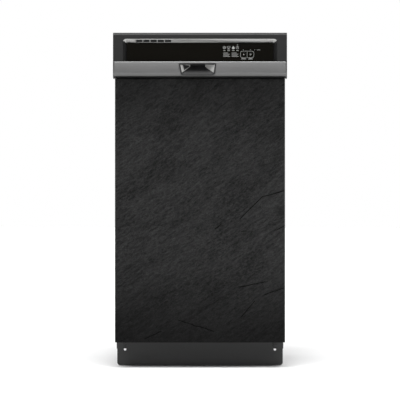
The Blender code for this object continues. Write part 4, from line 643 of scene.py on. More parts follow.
SHEET = 0.001
TUB_FLANGE = 0.0125
TUB_LIP = 0.006
TUB_CORNER = 0.014
BASIN_MARGIN = 0.075
BASIN_SLOPE = 0.020
BASIN_DEPTH = 0.018
tub_low, tub_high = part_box("tub")
tub_half = tub_high.x - TUB_FLANGE
tub_floor = tub_low.z + BASIN_DEPTH
tub_top = tub_high.z - TUB_FLANGE
mouth_y = tub_low.y + SHEET
stainless = stainless_sheet("stainless", (3.0, 120.0, 120.0))
bm = bmesh.new()
block(bm, (-tub_half, mouth_y, tub_floor), (tub_half, tub_high.y, tub_top))
bmesh.ops.recalc_face_normals(bm, faces=bm.faces)
bmesh.ops.delete(bm, geom=[f for f in bm.faces if f.normal.y < -0.9], context="FACES_ONLY")
inner_edges = [e for e in bm.edges if not e.is_boundary]
bmesh.ops.bevel(bm, geom=inner_edges, offset=TUB_CORNER, segments=5, profile=0.5, affect="EDGES")
bmesh.ops.recalc_face_normals(bm, faces=bm.faces)


def lowest_flat(bm):
    """The largest face of the tub that looks straight down."""
    return max((f for f in bm.faces if abs(f.normal.z) > 0.999 and f.calc_center_median().z < 0.3),
               key=lambda f: f.calc_area())


margin = BASIN_MARGIN - TUB_CORNER
bmesh.ops.inset_region(
    bm, faces=[lowest_flat(bm)], thickness=margin, use_boundary=True, use_even_offset=True,
)
centre = Vector((0, (mouth_y + tub_high.y) / 2, 0))
basin = min((f for f in bm.faces if abs(f.normal.z) > 0.999 and f.calc_center_median().z < 0.3),
            key=lambda f: (f.calc_center_median().xy - centre.xy).length)
bmesh.ops.inset_region(
    bm, faces=[basin], thickness=BASIN_SLOPE, use_boundary=True, use_even_offset=True,
)
bmesh.ops.translate(bm, verts=basin.verts, vec=(0, 0, -BASIN_DEPTH))
basin_edges = [e for e in bm.edges if len(e.link_faces) == 2 and e.calc_face_angle(0) > 0.3
               and all(v.co.z < tub_floor + 0.001 for v in e.verts)
               and all(abs(v.co.x) < tub_half - BASIN_MARGIN + 0.001 for v in e.verts)]
bmesh.ops.bevel(bm, geom=basin_edges, offset=0.006, segments=3, profile=0.5, affect="EDGES")
rim = [e for e in bm.edges if e.is_boundary]
lip = bmesh.ops.extrude_edge_only(bm, edges=rim)
for vert in (g for g in lip["geom"] if isinstance(g, bmesh.types.BMVert)):
    vert.co.x += math.copysign(TUB_FLANGE, vert.co.x)
    vert.co.z += -TUB_LIP if vert.co.z < 0.3 else TUB_FLANGE
tub = add_piece("wash_tub", bm, stainless)
wall = tub.modifiers.new("Sheet", "SOLIDIFY")
wall.thickness = SHEET
wall.offset = -1.0
wall.use_even_offset = True
sump_low, sump_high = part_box("sump")
sump_centre = Vector(((sump_low.x + sump_high.x) / 2, (sump_low.y + sump_high.y) / 2, 0))
SUMP_RADIUS = 0.060
cap_low, cap_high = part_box("salt_cap")
cap_centre = (cap_low + cap_high) / 2
SALT_NECK = 0.0248
cutters = bmesh.new()
turn(cutters, [(0, 0.10), (SUMP_RADIUS, 0.10), (SUMP_RADIUS, 0.16), (0, 0.16)], sump_centre)
turn(
    cutters, [(0, 0.10), (SALT_NECK, 0.10), (SALT_NECK, 0.16), (0, 0.16)],
    (cap_centre.x, cap_centre.y, 0),
)
fit(cut(tub, cutters), "cabinet", "stainless", "tub")

TUB_BEAD = 0.010
TUB_BEAD_HEIGHT = 0.0011
TUB_SIDE_BEADS = ((0.215, 0.440), (0.640, 0.800))
TUB_BACK_BEADS = ((-0.155, -0.030), (0.030, 0.155))
tub_inner = tub_half - SHEET
bm = bmesh.new()
section = bead_section(TUB_BEAD, TUB_BEAD_HEIGHT)
for sign in (-1, 1):
    for z_span in TUB_SIDE_BEADS:
        corners = framed("x", sign * tub_inner, (mouth_y + 0.050, tub_high.y - 0.050), z_span)
        sweep(bm, rounded_path(corners, BEAD_BEND), section, closed=True, up=(-sign, 0, 0))
for x_span in TUB_BACK_BEADS:
    corners = framed("y", tub_high.y - SHEET, x_span, (0.210, 0.790))
    sweep(bm, rounded_path(corners, BEAD_BEND), section, closed=True, up=(0, -1, 0))
corners = framed("z", tub_top - SHEET, (-0.150, 0.150), (mouth_y + 0.060, tub_high.y - 0.060))
sweep(bm, rounded_path(corners, BEAD_BEND), section, closed=True, up=(0, 0, -1))
fit(add_piece("wash_tub_beads", bm, stainless), "cabinet", "stainless")


# ------------------------------------------------------------------ door seal
# A soft rubber strip pushed over the tub's flange, up both sides and across the top. Two thin lips
# run along it and press on the door's inner skin.
seal_low, seal_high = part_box("door_gasket")
SEAL_WIDTH = 0.0090
SEAL_BEND = 0.020
seal_depth = seal_high.y - seal_low.y
centre_x = seal_high.x - SEAL_WIDTH / 2
top_z = seal_high.z - SEAL_WIDTH / 2
route = [(-centre_x, seal_high.y, seal_low.z), (-centre_x, seal_high.y, top_z),
         (centre_x, seal_high.y, top_z), (centre_x, seal_high.y, seal_low.z)]
route = rounded_path(route, SEAL_BEND, closed=False)
half = SEAL_WIDTH / 2
section = [
    (-half, 0), (-half, seal_depth * 0.6), (-half + 0.0012, seal_depth * 0.98),
    (-half + 0.0026, seal_depth * 0.6), (-0.0006, seal_depth * 0.5), (0.0010, seal_depth * 0.98),
    (0.0024, seal_depth * 0.5), (half, seal_depth * 0.4), (half, 0),
]
bm = bmesh.new()
sweep(bm, route, section, up=(0, -1, 0))
fit(add_piece("door_seal", bm, rubber), "cabinet", "rubber", "door_gasket")


# ------------------------------------------------------------------ hinge frame, arms and balance springs
# Folded steel under the tub's mouth carries the hinge pins. Each door arm reaches down past its pin, and
# a close-wound coil spring pulls on it from the base.
SPRING_COIL = 0.0044
SPRING_WIRE = 0.0009
SPRING_TURNS = 44
SPRING_HOOK = 0.018
for node in ("hinge_frame", "hinge_arm_left", "hinge_arm_right", "latch_striker"):
    dress(node, galvanised, 0.0003)
for side in ("left", "right"):
    low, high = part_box(f"door_spring_{side}")
    x, z = (low.x + high.x) / 2, (low.z + high.z) / 2
    start, end = low.y + SPRING_HOOK, high.y - SPRING_HOOK
    steps = SPRING_TURNS * 12
    coil = [(x, low.y + SPRING_WIRE, z), (x, start - 0.003, z)]
    for i in range(steps + 1):
        angle = 2 * math.pi * SPRING_TURNS * i / steps
        grow = min(1.0, i / 12, (steps - i) / 12)
        r = SPRING_COIL * grow
        coil.append(
            (x + r * math.cos(angle), start + (end - start) * i / steps, z + r * math.sin(angle))
        )
    coil += [(x, end + 0.003, z), (x, high.y - SPRING_WIRE, z)]
    bm = bmesh.new()
    sweep(bm, coil, circle(SPRING_WIRE, 6))
    fit(
        add_piece(f"door_spring_{side}_coil", bm, galvanised, 60), "cabinet", "galvanised",
        f"door_spring_{side}",
    )


# ------------------------------------------------------------------ sump, filters and salt cap
# A moulded sump hangs under the basin. A perforated steel disc covers it, the filter cup turns into the
# disc with a bayonet, and the softener's salt cap screws in beside it.
dress("sump", grey_plastic, 0.0006)
FILTER_HOLE = 0.0013
FILTER_PITCH = 0.0046
plate_low, plate_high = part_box("filter_plate")
plate_centre = Vector(((plate_low.x + plate_high.x) / 2, (plate_low.y + plate_high.y) / 2, 0))
plate_radius = (plate_high.x - plate_low.x) / 2
cup_low, cup_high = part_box("filter_cylinder")
cup_centre = Vector(((cup_low.x + cup_high.x) / 2, (cup_low.y + cup_high.y) / 2, 0))
cup_radius = (cup_high.x - cup_low.x) / 2
HUB_RADIUS = 0.0134
arm_low, arm_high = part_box("lower_spray_arm")
hub_centre = Vector(((arm_low.x + arm_high.x) / 2, (arm_low.y + arm_high.y) / 2, 0))


def perforated(bm, z_low, z_high):
    """Adds a plate of hexagonal cells with a round hole in each, where they fit between the rims."""
    row_step = FILTER_PITCH * math.sqrt(3) / 2
    reach = int(plate_radius / row_step) + 1
    for row in range(-reach, reach + 1):
        for column in range(-reach - 2, reach + 3):
            x = (column + (row % 2) / 2) * FILTER_PITCH
            here = plate_centre + Vector((x, row * row_step, 0))
            cell = FILTER_PITCH * 0.58
            if (here - plate_centre).length > plate_radius - 0.006 - cell:
                continue
            if (here - cup_centre).length < cup_radius + 0.0022 + cell:
                continue
            if (here - hub_centre).length < HUB_RADIUS + 0.0022 + cell:
                continue
            rings = []
            for z in (z_low, z_high):
                for radius, sides in ((FILTER_PITCH / math.sqrt(3), 6), (FILTER_HOLE, 12)):
                    ring = []
                    for k in range(12):
                        angle = math.pi / 6 + math.pi * k / 6
                        reach_out = radius
                        if sides == 6 and k % 2:
                            reach_out = radius * math.cos(math.pi / 6)
                        ring.append(bm.verts.new((here.x + reach_out * math.cos(angle),
                                                  here.y + reach_out * math.sin(angle), z)))
                    rings.append(ring)
            outer_low, hole_low, outer_high, hole_high = rings
            for k in range(12):
                j = (k + 1) % 12
                bm.faces.new((outer_low[k], outer_low[j], hole_low[j], hole_low[k]))
                bm.faces.new((outer_high[k], outer_high[j], hole_high[j], hole_high[k]))
                bm.faces.new((hole_low[k], hole_low[j], hole_high[j], hole_high[k]))


bm = bmesh.new()
perforated(bm, plate_low.z, plate_high.z)
fit(add_piece("filter_mesh", bm, stainless, 60), "cabinet", "stainless", "filter_plate")
bm = bmesh.new()
thick = plate_high.z - plate_low.z
rims = (
    (plate_centre, plate_radius - 0.0075, plate_radius),
    (cup_centre, cup_radius + 0.0004, cup_radius + 0.0040),
    (hub_centre, HUB_RADIUS, HUB_RADIUS + 0.0040),
)
for centre, inner, outer in rims:
    ring = [
        (inner, 0), (outer, 0), (outer, thick * 0.8), (outer - 0.0004, thick), (inner, thick),
        (inner, 0),
    ]
    turn(bm, ring, (centre.x, centre.y, plate_low.z), around=64)
fit(add_piece("filter_plate_rims", bm, stainless), "cabinet", "stainless")
for node in ("filter_cylinder", "salt_cap"):
    dress(node, grey_plastic, 0.0008)


# ------------------------------------------------------------------ spray arms
# Each arm is two welded grey mouldings: a hollow blade that thins and narrows to its tips, a domed hub,
# and raised nozzles that stand to either side of each blade's middle.
ARM_ROOT = 0.0160
ARM_TIP = 0.0088
ARM_BLADE = 0.0088
ARM_TIP_BLADE = 0.0060
NOZZLE_RADIUS = 0.0030
NOZZLE_HOLE = 0.0012
NOZZLE_PLACES = (0.034, 0.056, 0.080, 0.104, 0.126, 0.146)


def blade_ring(bm, centre, half_width, thickness, x):
    """One rounded cross-section of a blade, flatter underneath."""
    ring = []
    for k in range(20):
        angle = 2 * math.pi * k / 20
        across = math.copysign(abs(math.cos(angle)) ** 0.55, math.cos(angle)) * half_width
        up = math.copysign(abs(math.sin(angle)) ** 0.8, math.sin(angle)) * thickness / 2
        ring.append(bm.verts.new((centre.x + x, centre.y + across, centre.z + thickness / 2 + up)))
    return ring


def spray_arm(node):
    """One arm: two blades, the hub between them, and the nozzles along both."""
    low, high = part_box(node)
    centre = Vector(((low.x + high.x) / 2, (low.y + high.y) / 2, low.z))
    reach = (high.x - low.x) / 2
    stations = [-reach + 0.0002, -reach + 0.0014, -reach + 0.0050]
    stations += [-reach + 0.0050 + (reach - 0.0050) * i / 10 for i in range(1, 11)]
    stations += [-x for x in reversed(stations[:-1])]
    bm = bmesh.new()
    rings = []
    for x in stations:
        share = 1 - abs(x) / reach
        end = min(1.0, ((reach - abs(x)) / 0.0050) ** 0.5)
        width = (ARM_TIP + (ARM_ROOT - ARM_TIP) * share) * (0.35 + 0.65 * end)
        thickness = ARM_TIP_BLADE + (ARM_BLADE - ARM_TIP_BLADE) * share
        rings.append(blade_ring(bm, centre, width, thickness * (0.5 + 0.5 * end), x))
    for first, second in zip(rings, rings[1:]):
        for k in range(20):
            j = (k + 1) % 20
            bm.faces.new((first[k], first[j], second[j], second[k]))
    bm.faces.new(rings[0])
    bm.faces.new(rings[-1])
    top = high.z - low.z
    hub = (high.y - low.y) / 2
    turn(
        bm,
        [
            (0, 0.0008), (hub * 0.8, 0.0008), (hub * 0.98, 0.0022), (hub * 0.98, top * 0.62),
            (hub * 0.80, top * 0.86), (hub * 0.40, top * 0.97), (0.0038, top),
            (0.0030, top - 0.0012), (0, top - 0.0012),
        ],
        centre,
    )
    for i in range(len(NOZZLE_PLACES) * 2):
        x = NOZZLE_PLACES[i // 2] * (1 if i % 2 else -1)
        share = 1 - abs(x) / reach
        surface = ARM_TIP_BLADE + (ARM_BLADE - ARM_TIP_BLADE) * share
        side = 0.0032 * (1 if (i // 2) % 2 else -1) * (1 if i % 2 else -1)
        turn(
            bm,
            [
                (0, -0.0020), (NOZZLE_RADIUS, -0.0020), (NOZZLE_RADIUS, 0.0002),
                (NOZZLE_RADIUS - 0.0005, 0.0008), (NOZZLE_HOLE, 0.0008), (NOZZLE_HOLE, -0.0006),
                (0, -0.0006),
            ],
            (centre.x + x, centre.y + side, centre.z + surface - 0.0004), around=16,
        )
    fit(add_piece(f"{node}_moulding", bm, grey_plastic), node, "grey_plastic", node)


spray_arm("lower_spray_arm")
spray_arm("upper_spray_arm")
dress("upper_spray_duct", grey_plastic, 0.0008)


# ------------------------------------------------------------------ rack wires
# Both racks are welded from drawn steel wire and dipped in pale grey nylon. U-shaped wires run both ways
# under a thick rim, with a belt wire half way up, and rows of tines stand on their own bars.
def nylon_coating():
    """Sintered nylon on wire: a soft sheen, faint orange peel, and a little yellowing in patches."""
    nylon = Material("coated_wire")
    patches = nylon.noise(22.0, detail=3.0)
    peel = nylon.noise(900.0, detail=2.0)
    return nylon.surface(
        Base_Color=nylon.mix(patches, (0.40, 0.42, 0.45), (0.50, 0.51, 0.52)),
        Roughness=patches * 0.12 + 0.30,
        Normal=nylon.bump(peel, 0.00003),
        Coat_Weight=0.3,
        Coat_Roughness=0.25,
    )


def span(low, high, count):
    """That many places, evenly spaced from low to high."""
    return [low + (high - low) * i / (count - 1) for i in range(count)]


WIRE = 0.0020
RIM_WIRE = 0.0030
WIRE_BEND = 0.010
RIM_BEND = 0.022
WELD_SINK = 0.68
nylon = nylon_coating()
thin = circle(WIRE, 10)
thick_wire = circle(RIM_WIRE, 12)


def wire(bm, corners, section=thin, bend=WIRE_BEND, closed=False):
    """Adds a bent wire, its cut ends rounded over by the coating."""
    sweep(bm, rounded_path(corners, bend, closed, 6), section, closed)
    if not closed:
        for end in (corners[0], corners[-1]):
            bmesh.ops.create_icosphere(
                bm, subdivisions=2, radius=max(a for a, b in section), matrix=Matrix.Translation(end),
            )


def wire_basket(bm, half, front, rear, floor, rim, along, across, belts):
    """An open basket of wires that run along it and across it, a thick rim, and belts between."""
    inset = (RIM_WIRE + WIRE) * WELD_SINK
    step = 2 * WIRE * WELD_SINK
    top = rim + WIRE * 0.5
    wire(bm, framed("z", rim, (-half, half), (front, rear)), thick_wire, RIM_BEND, closed=True)
    out = half - inset + step
    for share in belts:
        z = floor + (rim - floor) * share
        corners = framed("z", z, (-out, out), (front + inset - step, rear - inset + step))
        wire(bm, corners, bend=RIM_BEND, closed=True)
    y0, y1, x1 = front + inset, rear - inset, half - inset
    for x in span(-half * 0.88, half * 0.88, along):
        wire(bm, [(x, y0, top), (x, y0, floor), (x, y1, floor), (x, y1, top)])
    for y in span(y0 + 0.022, y1 - 0.022, across):
        upper = floor + step
        wire(bm, [(-x1, y, top), (-x1, y, upper), (x1, y, upper), (x1, y, top)])


def tine_row(bm, x, bar_z, y_span, count, height):
    """A bar along the rack with a row of tines welded upright on it."""
    wire(bm, [(x, y_span[0] - 0.012, bar_z), (x, y_span[1] + 0.012, bar_z)])
    for y in span(*y_span, count):
        wire(bm, [(x, y, bar_z), (x, y, bar_z + height)])


# ------------------------------------------------------------------ lower rack
# The lower rack rolls out on four wheels. It has one fixed row of tines, one row that folds down, and a
# lattice basket for the cutlery that lifts out.
TINES = 11
TINE_HEIGHT = 0.075
FIXED_TINE_X = 0.030
AXLE = 0.0030
WHEEL_INSET = 0.014
rack_low, rack_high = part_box("lower_rack")
lower_half = rack_high.x - RIM_WIRE
lower_front = rack_low.y + RIM_WIRE
lower_rear = rack_high.y - RIM_WIRE
lower_rim = rack_high.z - RIM_WIRE
LOWER_DEPTH = 0.124
lower_floor = lower_rim - LOWER_DEPTH
tine_span = (lower_front + 0.060, lower_rear - 0.050)
bm = bmesh.new()
wire_basket(bm, lower_half, lower_front, lower_rear, lower_floor, lower_rim, 10, 12, (0.30, 0.62))
tine_row(bm, FIXED_TINE_X, lower_floor + 4 * WIRE * WELD_SINK, tine_span, TINES, TINE_HEIGHT)
for wheel in ("front_left", "front_right", "rear_left", "rear_right"):
    low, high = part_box(f"rack_wheel_{wheel}")
    sign = -1 if high.x < 0 else 1
    y, z = (low.y + high.y) / 2, (low.z + high.z) / 2
    hub_x = lower_half - WHEEL_INSET
    tip = max(abs(low.x), abs(high.x)) + 0.002
    carrier = [(sign * (hub_x - 0.050), y, lower_floor - 0.001), (sign * hub_x, y, lower_floor - 0.001),
               (sign * hub_x, y, z), (sign * tip, y, z)]
    wire(bm, carrier, thick_wire, 0.005)
fit(add_piece("lower_rack_wires", bm, nylon), "lower_rack", "coated_wire", "lower_rack")

for wheel in ("front_left", "front_right", "rear_left", "rear_right"):
    node = f"rack_wheel_{wheel}"
    low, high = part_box(node)
    centre = (low + high) / 2
    half = (high.x - low.x) / 2
    rim = (high.z - low.z) / 2
    bore = AXLE + 0.0004
    bm = bmesh.new()
    turn(
        bm,
        [
            (bore, half), (bore + 0.0028, half), (bore + 0.0036, half * 0.9),
            (bore + 0.0040, half * 0.3), (rim - 0.0044, half * 0.3), (rim - 0.0038, half * 0.92),
            (rim - 0.0030, half), (rim - 0.0012, half), (rim, half - 0.0012), (rim, -half + 0.0012),
            (rim - 0.0012, -half), (rim - 0.0030, -half), (rim - 0.0038, -half * 0.92),
            (rim - 0.0044, -half * 0.3), (bore + 0.0040, -half * 0.3), (bore + 0.0036, -half * 0.9),
            (bore + 0.0028, -half), (bore, -half), (bore, half),
        ],
        centre, "x", 56,
    )
    for k in range(6):
        angle = 2 * math.pi * k / 6
        spoke = Vector((0, math.cos(angle), math.sin(angle)))
        ends = [centre + spoke * (bore + 0.003), centre + spoke * (rim - 0.0035)]
        thin_spoke = [
            (-0.0009, -half * 0.75), (0.0009, -half * 0.75), (0.0009, half * 0.75),
            (-0.0009, half * 0.75),
        ]
        sweep(bm, ends, thin_spoke, up=(1, 0, 0))
    fit(add_piece(f"{node}_moulding", bm, grey_plastic), node, "grey_plastic", node)

tine_low, tine_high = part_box("fold_down_tines")
bm = bmesh.new()
tine_row(bm, (tine_low.x + tine_high.x) / 2, tine_low.z + WIRE, tine_span, TINES, TINE_HEIGHT)
fit(add_piece("fold_down_tine_row", bm, nylon), "fold_down_tines", "coated_wire", "fold_down_tines")

BASKET_WALL = 0.0020
BASKET_RIB = 0.0022
BASKET_PITCH = 0.0088
BAIL_RISE = 0.040
basket_low, basket_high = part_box("cutlery_basket")
basket_top = basket_high.z - BAIL_RISE
bm = bmesh.new()
bands = (
    (basket_low.z, 0.006), (basket_low.z + 0.036, 0.003), (basket_low.z + 0.068, 0.003),
    (basket_top - 0.007, 0.007),
)


def lattice_wall(bm, start, end):
    """A wall of upright ribs between level bands, from one floor point to another."""
    start, end = Vector(start), Vector(end)
    run = end - start
    side = Vector((abs(run.y), abs(run.x), 0)).normalized() * BASKET_WALL / 2
    for z, height in bands:
        block(bm, (min(start.x, end.x) - side.x, min(start.y, end.y) - side.y, z),
              (max(start.x, end.x) + side.x, max(start.y, end.y) + side.y, z + height), 0.0005, 1)
    count = round(run.length / BASKET_PITCH)
    along = run.normalized()
    for i in range(count + 1):
        here = start + run * i / count
        reach = Vector((abs(along.x), abs(along.y), 0)) * BASKET_RIB / 2 + side * 0.8
        block(bm, here - reach, (here.x + reach.x, here.y + reach.y, basket_top - 0.001))


inside = BASKET_WALL / 2
x0, x1 = basket_low.x + inside, basket_high.x - inside
y0, y1 = basket_low.y + inside, basket_high.y - inside
z = basket_low.z
middle = (y0 + y1) / 2
for start, end in (((x0, y0), (x1, y0)), ((x1, y0), (x1, y1)), ((x0, y1), (x1, y1)), ((x0, y0), (x0, y1)),
                   ((x0, middle), (x1, middle))):
    lattice_wall(bm, (*start, z), (*end, z))
for x in span(x0, x1, 9):
    block(bm, (x - 0.0008, y0, z), (x + 0.0008, y1, z + 0.0018))
for y in span(y0, y1, 25):
    block(bm, (x0, y - 0.0008, z + 0.0003), (x1, y + 0.0008, z + 0.0018))
bail = [(x0 + 0.002, middle, basket_top - 0.010), (x0 + 0.002, middle, basket_high.z - 0.0032),
        (x1 - 0.002, middle, basket_high.z - 0.0032), (x1 - 0.002, middle, basket_top - 0.010)]
sweep(
    bm, rounded_path(bail, 0.016, closed=False, steps=8),
    [
        (-0.0040, -0.0022), (0.0040, -0.0022), (0.0040, 0.0010), (0.0028, 0.0022),
        (-0.0028, 0.0022), (-0.0040, 0.0010),
    ],
    up=(0.01, 1, 0),
)
fit(
    add_piece("cutlery_basket_lattice", bm, grey_plastic, 30), "cutlery_basket", "grey_plastic",
    "cutlery_basket",
)


# ------------------------------------------------------------------ upper rack
# The upper rack hangs from moulded runners in folded steel rails on the tub's walls. A small cup shelf
# on its left folds up, and its own spray arm turns below it.
upper_low, upper_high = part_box("upper_rack")
upper_half = upper_high.x - RIM_WIRE
upper_rim = upper_high.z - RIM_WIRE
UPPER_DEPTH = 0.110
bm = bmesh.new()
wire_basket(
    bm, upper_half, upper_low.y + RIM_WIRE, upper_high.y - RIM_WIRE, upper_rim - UPPER_DEPTH,
    upper_rim, 10, 11, (0.5,),
)
fit(add_piece("upper_rack_wires", bm, nylon), "upper_rack", "coated_wire", "upper_rack")
shelf_low, shelf_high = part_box("cup_shelf")
shelf_z = shelf_low.z + WIRE
bm = bmesh.new()
for x in (shelf_low.x + WIRE, shelf_high.x - WIRE):
    wire(bm, [(x, shelf_low.y, shelf_z), (x, shelf_high.y, shelf_z)])
for y in span(shelf_low.y + 0.006, shelf_high.y - 0.006, 13):
    wire(
        bm,
        [
            (shelf_low.x + WIRE, y, shelf_z + WIRE * 0.6),
            (shelf_high.x - WIRE, y, shelf_z + WIRE * 0.6),
        ],
    )
fit(add_piece("cup_shelf_wires", bm, nylon), "cup_shelf", "coated_wire", "cup_shelf")
for side in ("left", "right"):
    dress(f"rail_{side}", stainless, 0.0004)
    dress(f"runner_{side}", grey_plastic, 0.0006)


# ------------------------------------------------------------------ door sheets
# A galvanised tray is the door's outer half. The stainless inner skin closes it, with a pressed frame
# round its edge, and the dispenser sits in a window in the middle.
door_steel = stainless_sheet("door_stainless", (3.0, 3.0, 160.0))
dress("door_outer_panel", galvanised, 0.0004)
dress("door_liner", door_steel, 0.0004)
liner_low, liner_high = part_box("door_liner")
body_low, body_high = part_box("dispenser_body")
DOOR_BEAD = 0.007
DOOR_BEAD_HEIGHT = 0.0014
DOOR_BEAD_TOP = 0.800
DOOR_SCREW_HEIGHTS = (0.235, 0.420, 0.600, 0.780)
bm = bmesh.new()
section = bead_section(DOOR_BEAD, DOOR_BEAD_HEIGHT)
corners = framed(
    "y", liner_high.y, (liner_low.x + 0.042, liner_high.x - 0.042),
    (liner_low.z + 0.060, DOOR_BEAD_TOP),
)
sweep(bm, rounded_path(corners, 0.030), section, closed=True, up=(0, 1, 0))
corners = framed(
    "y", liner_high.y, (body_low.x - 0.014, body_high.x + 0.014),
    (body_low.z - 0.014, body_high.z + 0.014),
)
sweep(bm, rounded_path(corners, 0.018), section, closed=True, up=(0, 1, 0))
fit(add_piece("door_liner_beads", bm, door_steel), "door", "stainless")
bm = bmesh.new()
for sign in (-1, 1):
    for z in DOOR_SCREW_HEIGHTS:
        place = (sign * (liner_high.x - 0.007), liner_high.y, z)
        turn(bm, [(0, 0), (0.0040, 0), (0.0038, 0.0007), (0.0025, 0.0014), (0, 0.0016)], place, "y", 28)
        turn(bm, [(0.0013, 0.0010), (0.0016, 0.0019), (0, 0.0019)], place, "y", 6)
fit(add_piece("door_liner_screws", bm, stainless), "door", "stainless")


# ------------------------------------------------------------------ detergent dispenser
# One grey moulding snapped into the inner skin: a detergent cup under a sliding lid, and a quarter-turn
# cap with a finger bar over the rinse-aid filler.
dress("dispenser_body", grey_plastic, 0.0010)
lid_low, lid_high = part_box("dispenser_lid")
bm = bmesh.new()
block(bm, lid_low, (lid_high.x, lid_high.y - 0.0012, lid_high.z), 0.0012, 3)
frame_path = framed(
    "y", lid_high.y - 0.0014, (lid_low.x + 0.004, lid_high.x - 0.004),
    (lid_low.z + 0.004, lid_high.z - 0.004),
)
sweep(bm, rounded_path(frame_path, 0.005), bead_section(0.0024, 0.0012), closed=True, up=(0, 1, 0))
for i in range(6):
    z = lid_high.z - 0.012 - i * 0.0036
    block(
        bm, (lid_low.x + 0.020, lid_high.y - 0.0014, z),
        (lid_high.x - 0.020, lid_high.y - 0.0003, z + 0.0016), 0.0004, 1,
    )
fit(
    add_piece("dispenser_lid_moulding", bm, grey_plastic), "dispenser_lid", "grey_plastic",
    "dispenser_lid",
)

rinse_low, rinse_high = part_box("rinse_aid_cap")
rinse = (rinse_low + rinse_high) / 2
rinse_radius = (rinse_high.x - rinse_low.x) / 2
RINSE_FLUTES = 36
bm = bmesh.new()
deep = rinse_high.y - rinse_low.y
turn(
    bm,
    [
        (0, 0), (rinse_radius - 0.0006, 0), (rinse_radius - 0.0006, deep * 0.30),
        (rinse_radius - 0.0020, deep * 0.44), (rinse_radius * 0.80, deep * 0.46),
        (rinse_radius * 0.76, deep * 0.34), (0, deep * 0.34),
    ],
    (rinse.x, rinse_low.y, rinse.z), "y", 72,
)
for k in range(RINSE_FLUTES):
    angle = 2 * math.pi * k / RINSE_FLUTES
    place = Vector(
        (
            rinse.x + (rinse_radius - 0.0009) * math.cos(angle), 0,
            rinse.z + (rinse_radius - 0.0009) * math.sin(angle),
        )
    )
    low = place + Vector((-0.0007, rinse_low.y + 0.0002, -0.0007))
    block(bm, low, low + Vector((0.0014, deep * 0.28, 0.0014)), 0.0004, 1)
grip = rinse_radius * 0.74
block(
    bm, (rinse.x - grip, rinse_low.y + deep * 0.3, rinse.z - 0.0028),
    (rinse.x + grip, rinse_high.y, rinse.z + 0.0028), 0.0012, 3,
)
fit(
    add_piece("rinse_aid_cap_moulding", bm, grey_plastic), "rinse_aid_cap", "grey_plastic",
    "rinse_aid_cap",
)


# ------------------------------------------------------------------ slate door panel
# A thin slab of riven slate is bonded to the door's tray. It split along its layers, which left low steps
# that climb to the right, a rough grain between them, and a few deeper cracks near the edges.
SLATE_STEP = 0.0027
SLATE_EDGE = 0.0012
CLEAVAGE = math.radians(38)
SLATE_LAYERS = 22.0
SLATE_SEED = 7


def lattice_noise(u, v, seed):
    """Smooth noise from 0 to 1 on a grid of one unit."""
    table = np.random.default_rng(seed).random((256, 256))
    iu, iv = np.floor(u).astype(int), np.floor(v).astype(int)
    fu, fv = u - iu, v - iv
    fu, fv = fu * fu * (3 - 2 * fu), fv * fv * (3 - 2 * fv)
    a, b = table[iu % 256, iv % 256], table[(iu + 1) % 256, iv % 256]
    c, d = table[iu % 256, (iv + 1) % 256], table[(iu + 1) % 256, (iv + 1) % 256]
    return (a * (1 - fu) + b * fu) * (1 - fv) + (c * (1 - fu) + d * fu) * fv


def rough_noise(u, v, seed, octaves, fade=0.5):
    """Several layers of the smooth noise, each twice as fine, about 0."""
    total, weight, sum_of_weights = 0.0, 1.0, 0.0
    for i in range(octaves):
        turned = 0.8 * i
        uu = (u * math.cos(turned) - v * math.sin(turned)) * 2 ** i
        vv = (u * math.sin(turned) + v * math.cos(turned)) * 2 ** i
        total = total + weight * (lattice_noise(uu + 31.7 * i, vv + 11.3 * i, seed + i) - 0.5)
        sum_of_weights += weight
        weight *= fade
    return total / sum_of_weights


def near_line(x, z, points, waver):
    """How far each place is from a line through the points that wavers a little."""
    best = np.full(x.shape, 1.0)
    for (x0, z0), (x1, z1) in zip(points, points[1:]):
        run = Vector((x1 - x0, z1 - z0))
        t = np.clip(((x - x0) * run.x + (z - z0) * run.y) / run.length_squared, 0, 1)
        best = np.minimum(best, np.hypot(x + waver - x0 - t * run.x, z + waver - z0 - t * run.y))
    return best


CRACKS = (
    ((0.102, 0.385), (0.160, 0.442), (0.216, 0.457)),
    ((0.038, 0.359), (0.055, 0.372)),
    ((0.198, 0.357), (0.216, 0.367)),
    ((0.102, 0.210), (0.170, 0.223)),
    ((0.167, 0.191), (0.216, 0.207)),
    ((0.105, 0.131), (0.142, 0.175)),
    ((-0.057, 0.125), (-0.026, 0.115), (0.036, 0.095)),
    ((-0.142, 0.076), (-0.098, 0.097)),
)
RIDGES = (((-0.198, 0.241), (-0.130, 0.238), (-0.077, 0.246)),)
CRACK_WIDTH = 0.0013
CRACK_DEPTH = 0.0022
SLATE_DEEPEST = 0.0034


def crack_waver(x, z):
    """How far the cracks stray from their straight runs at each place."""
    return rough_noise(x * 90, z * 90, SLATE_SEED + 50, 3) * 0.004


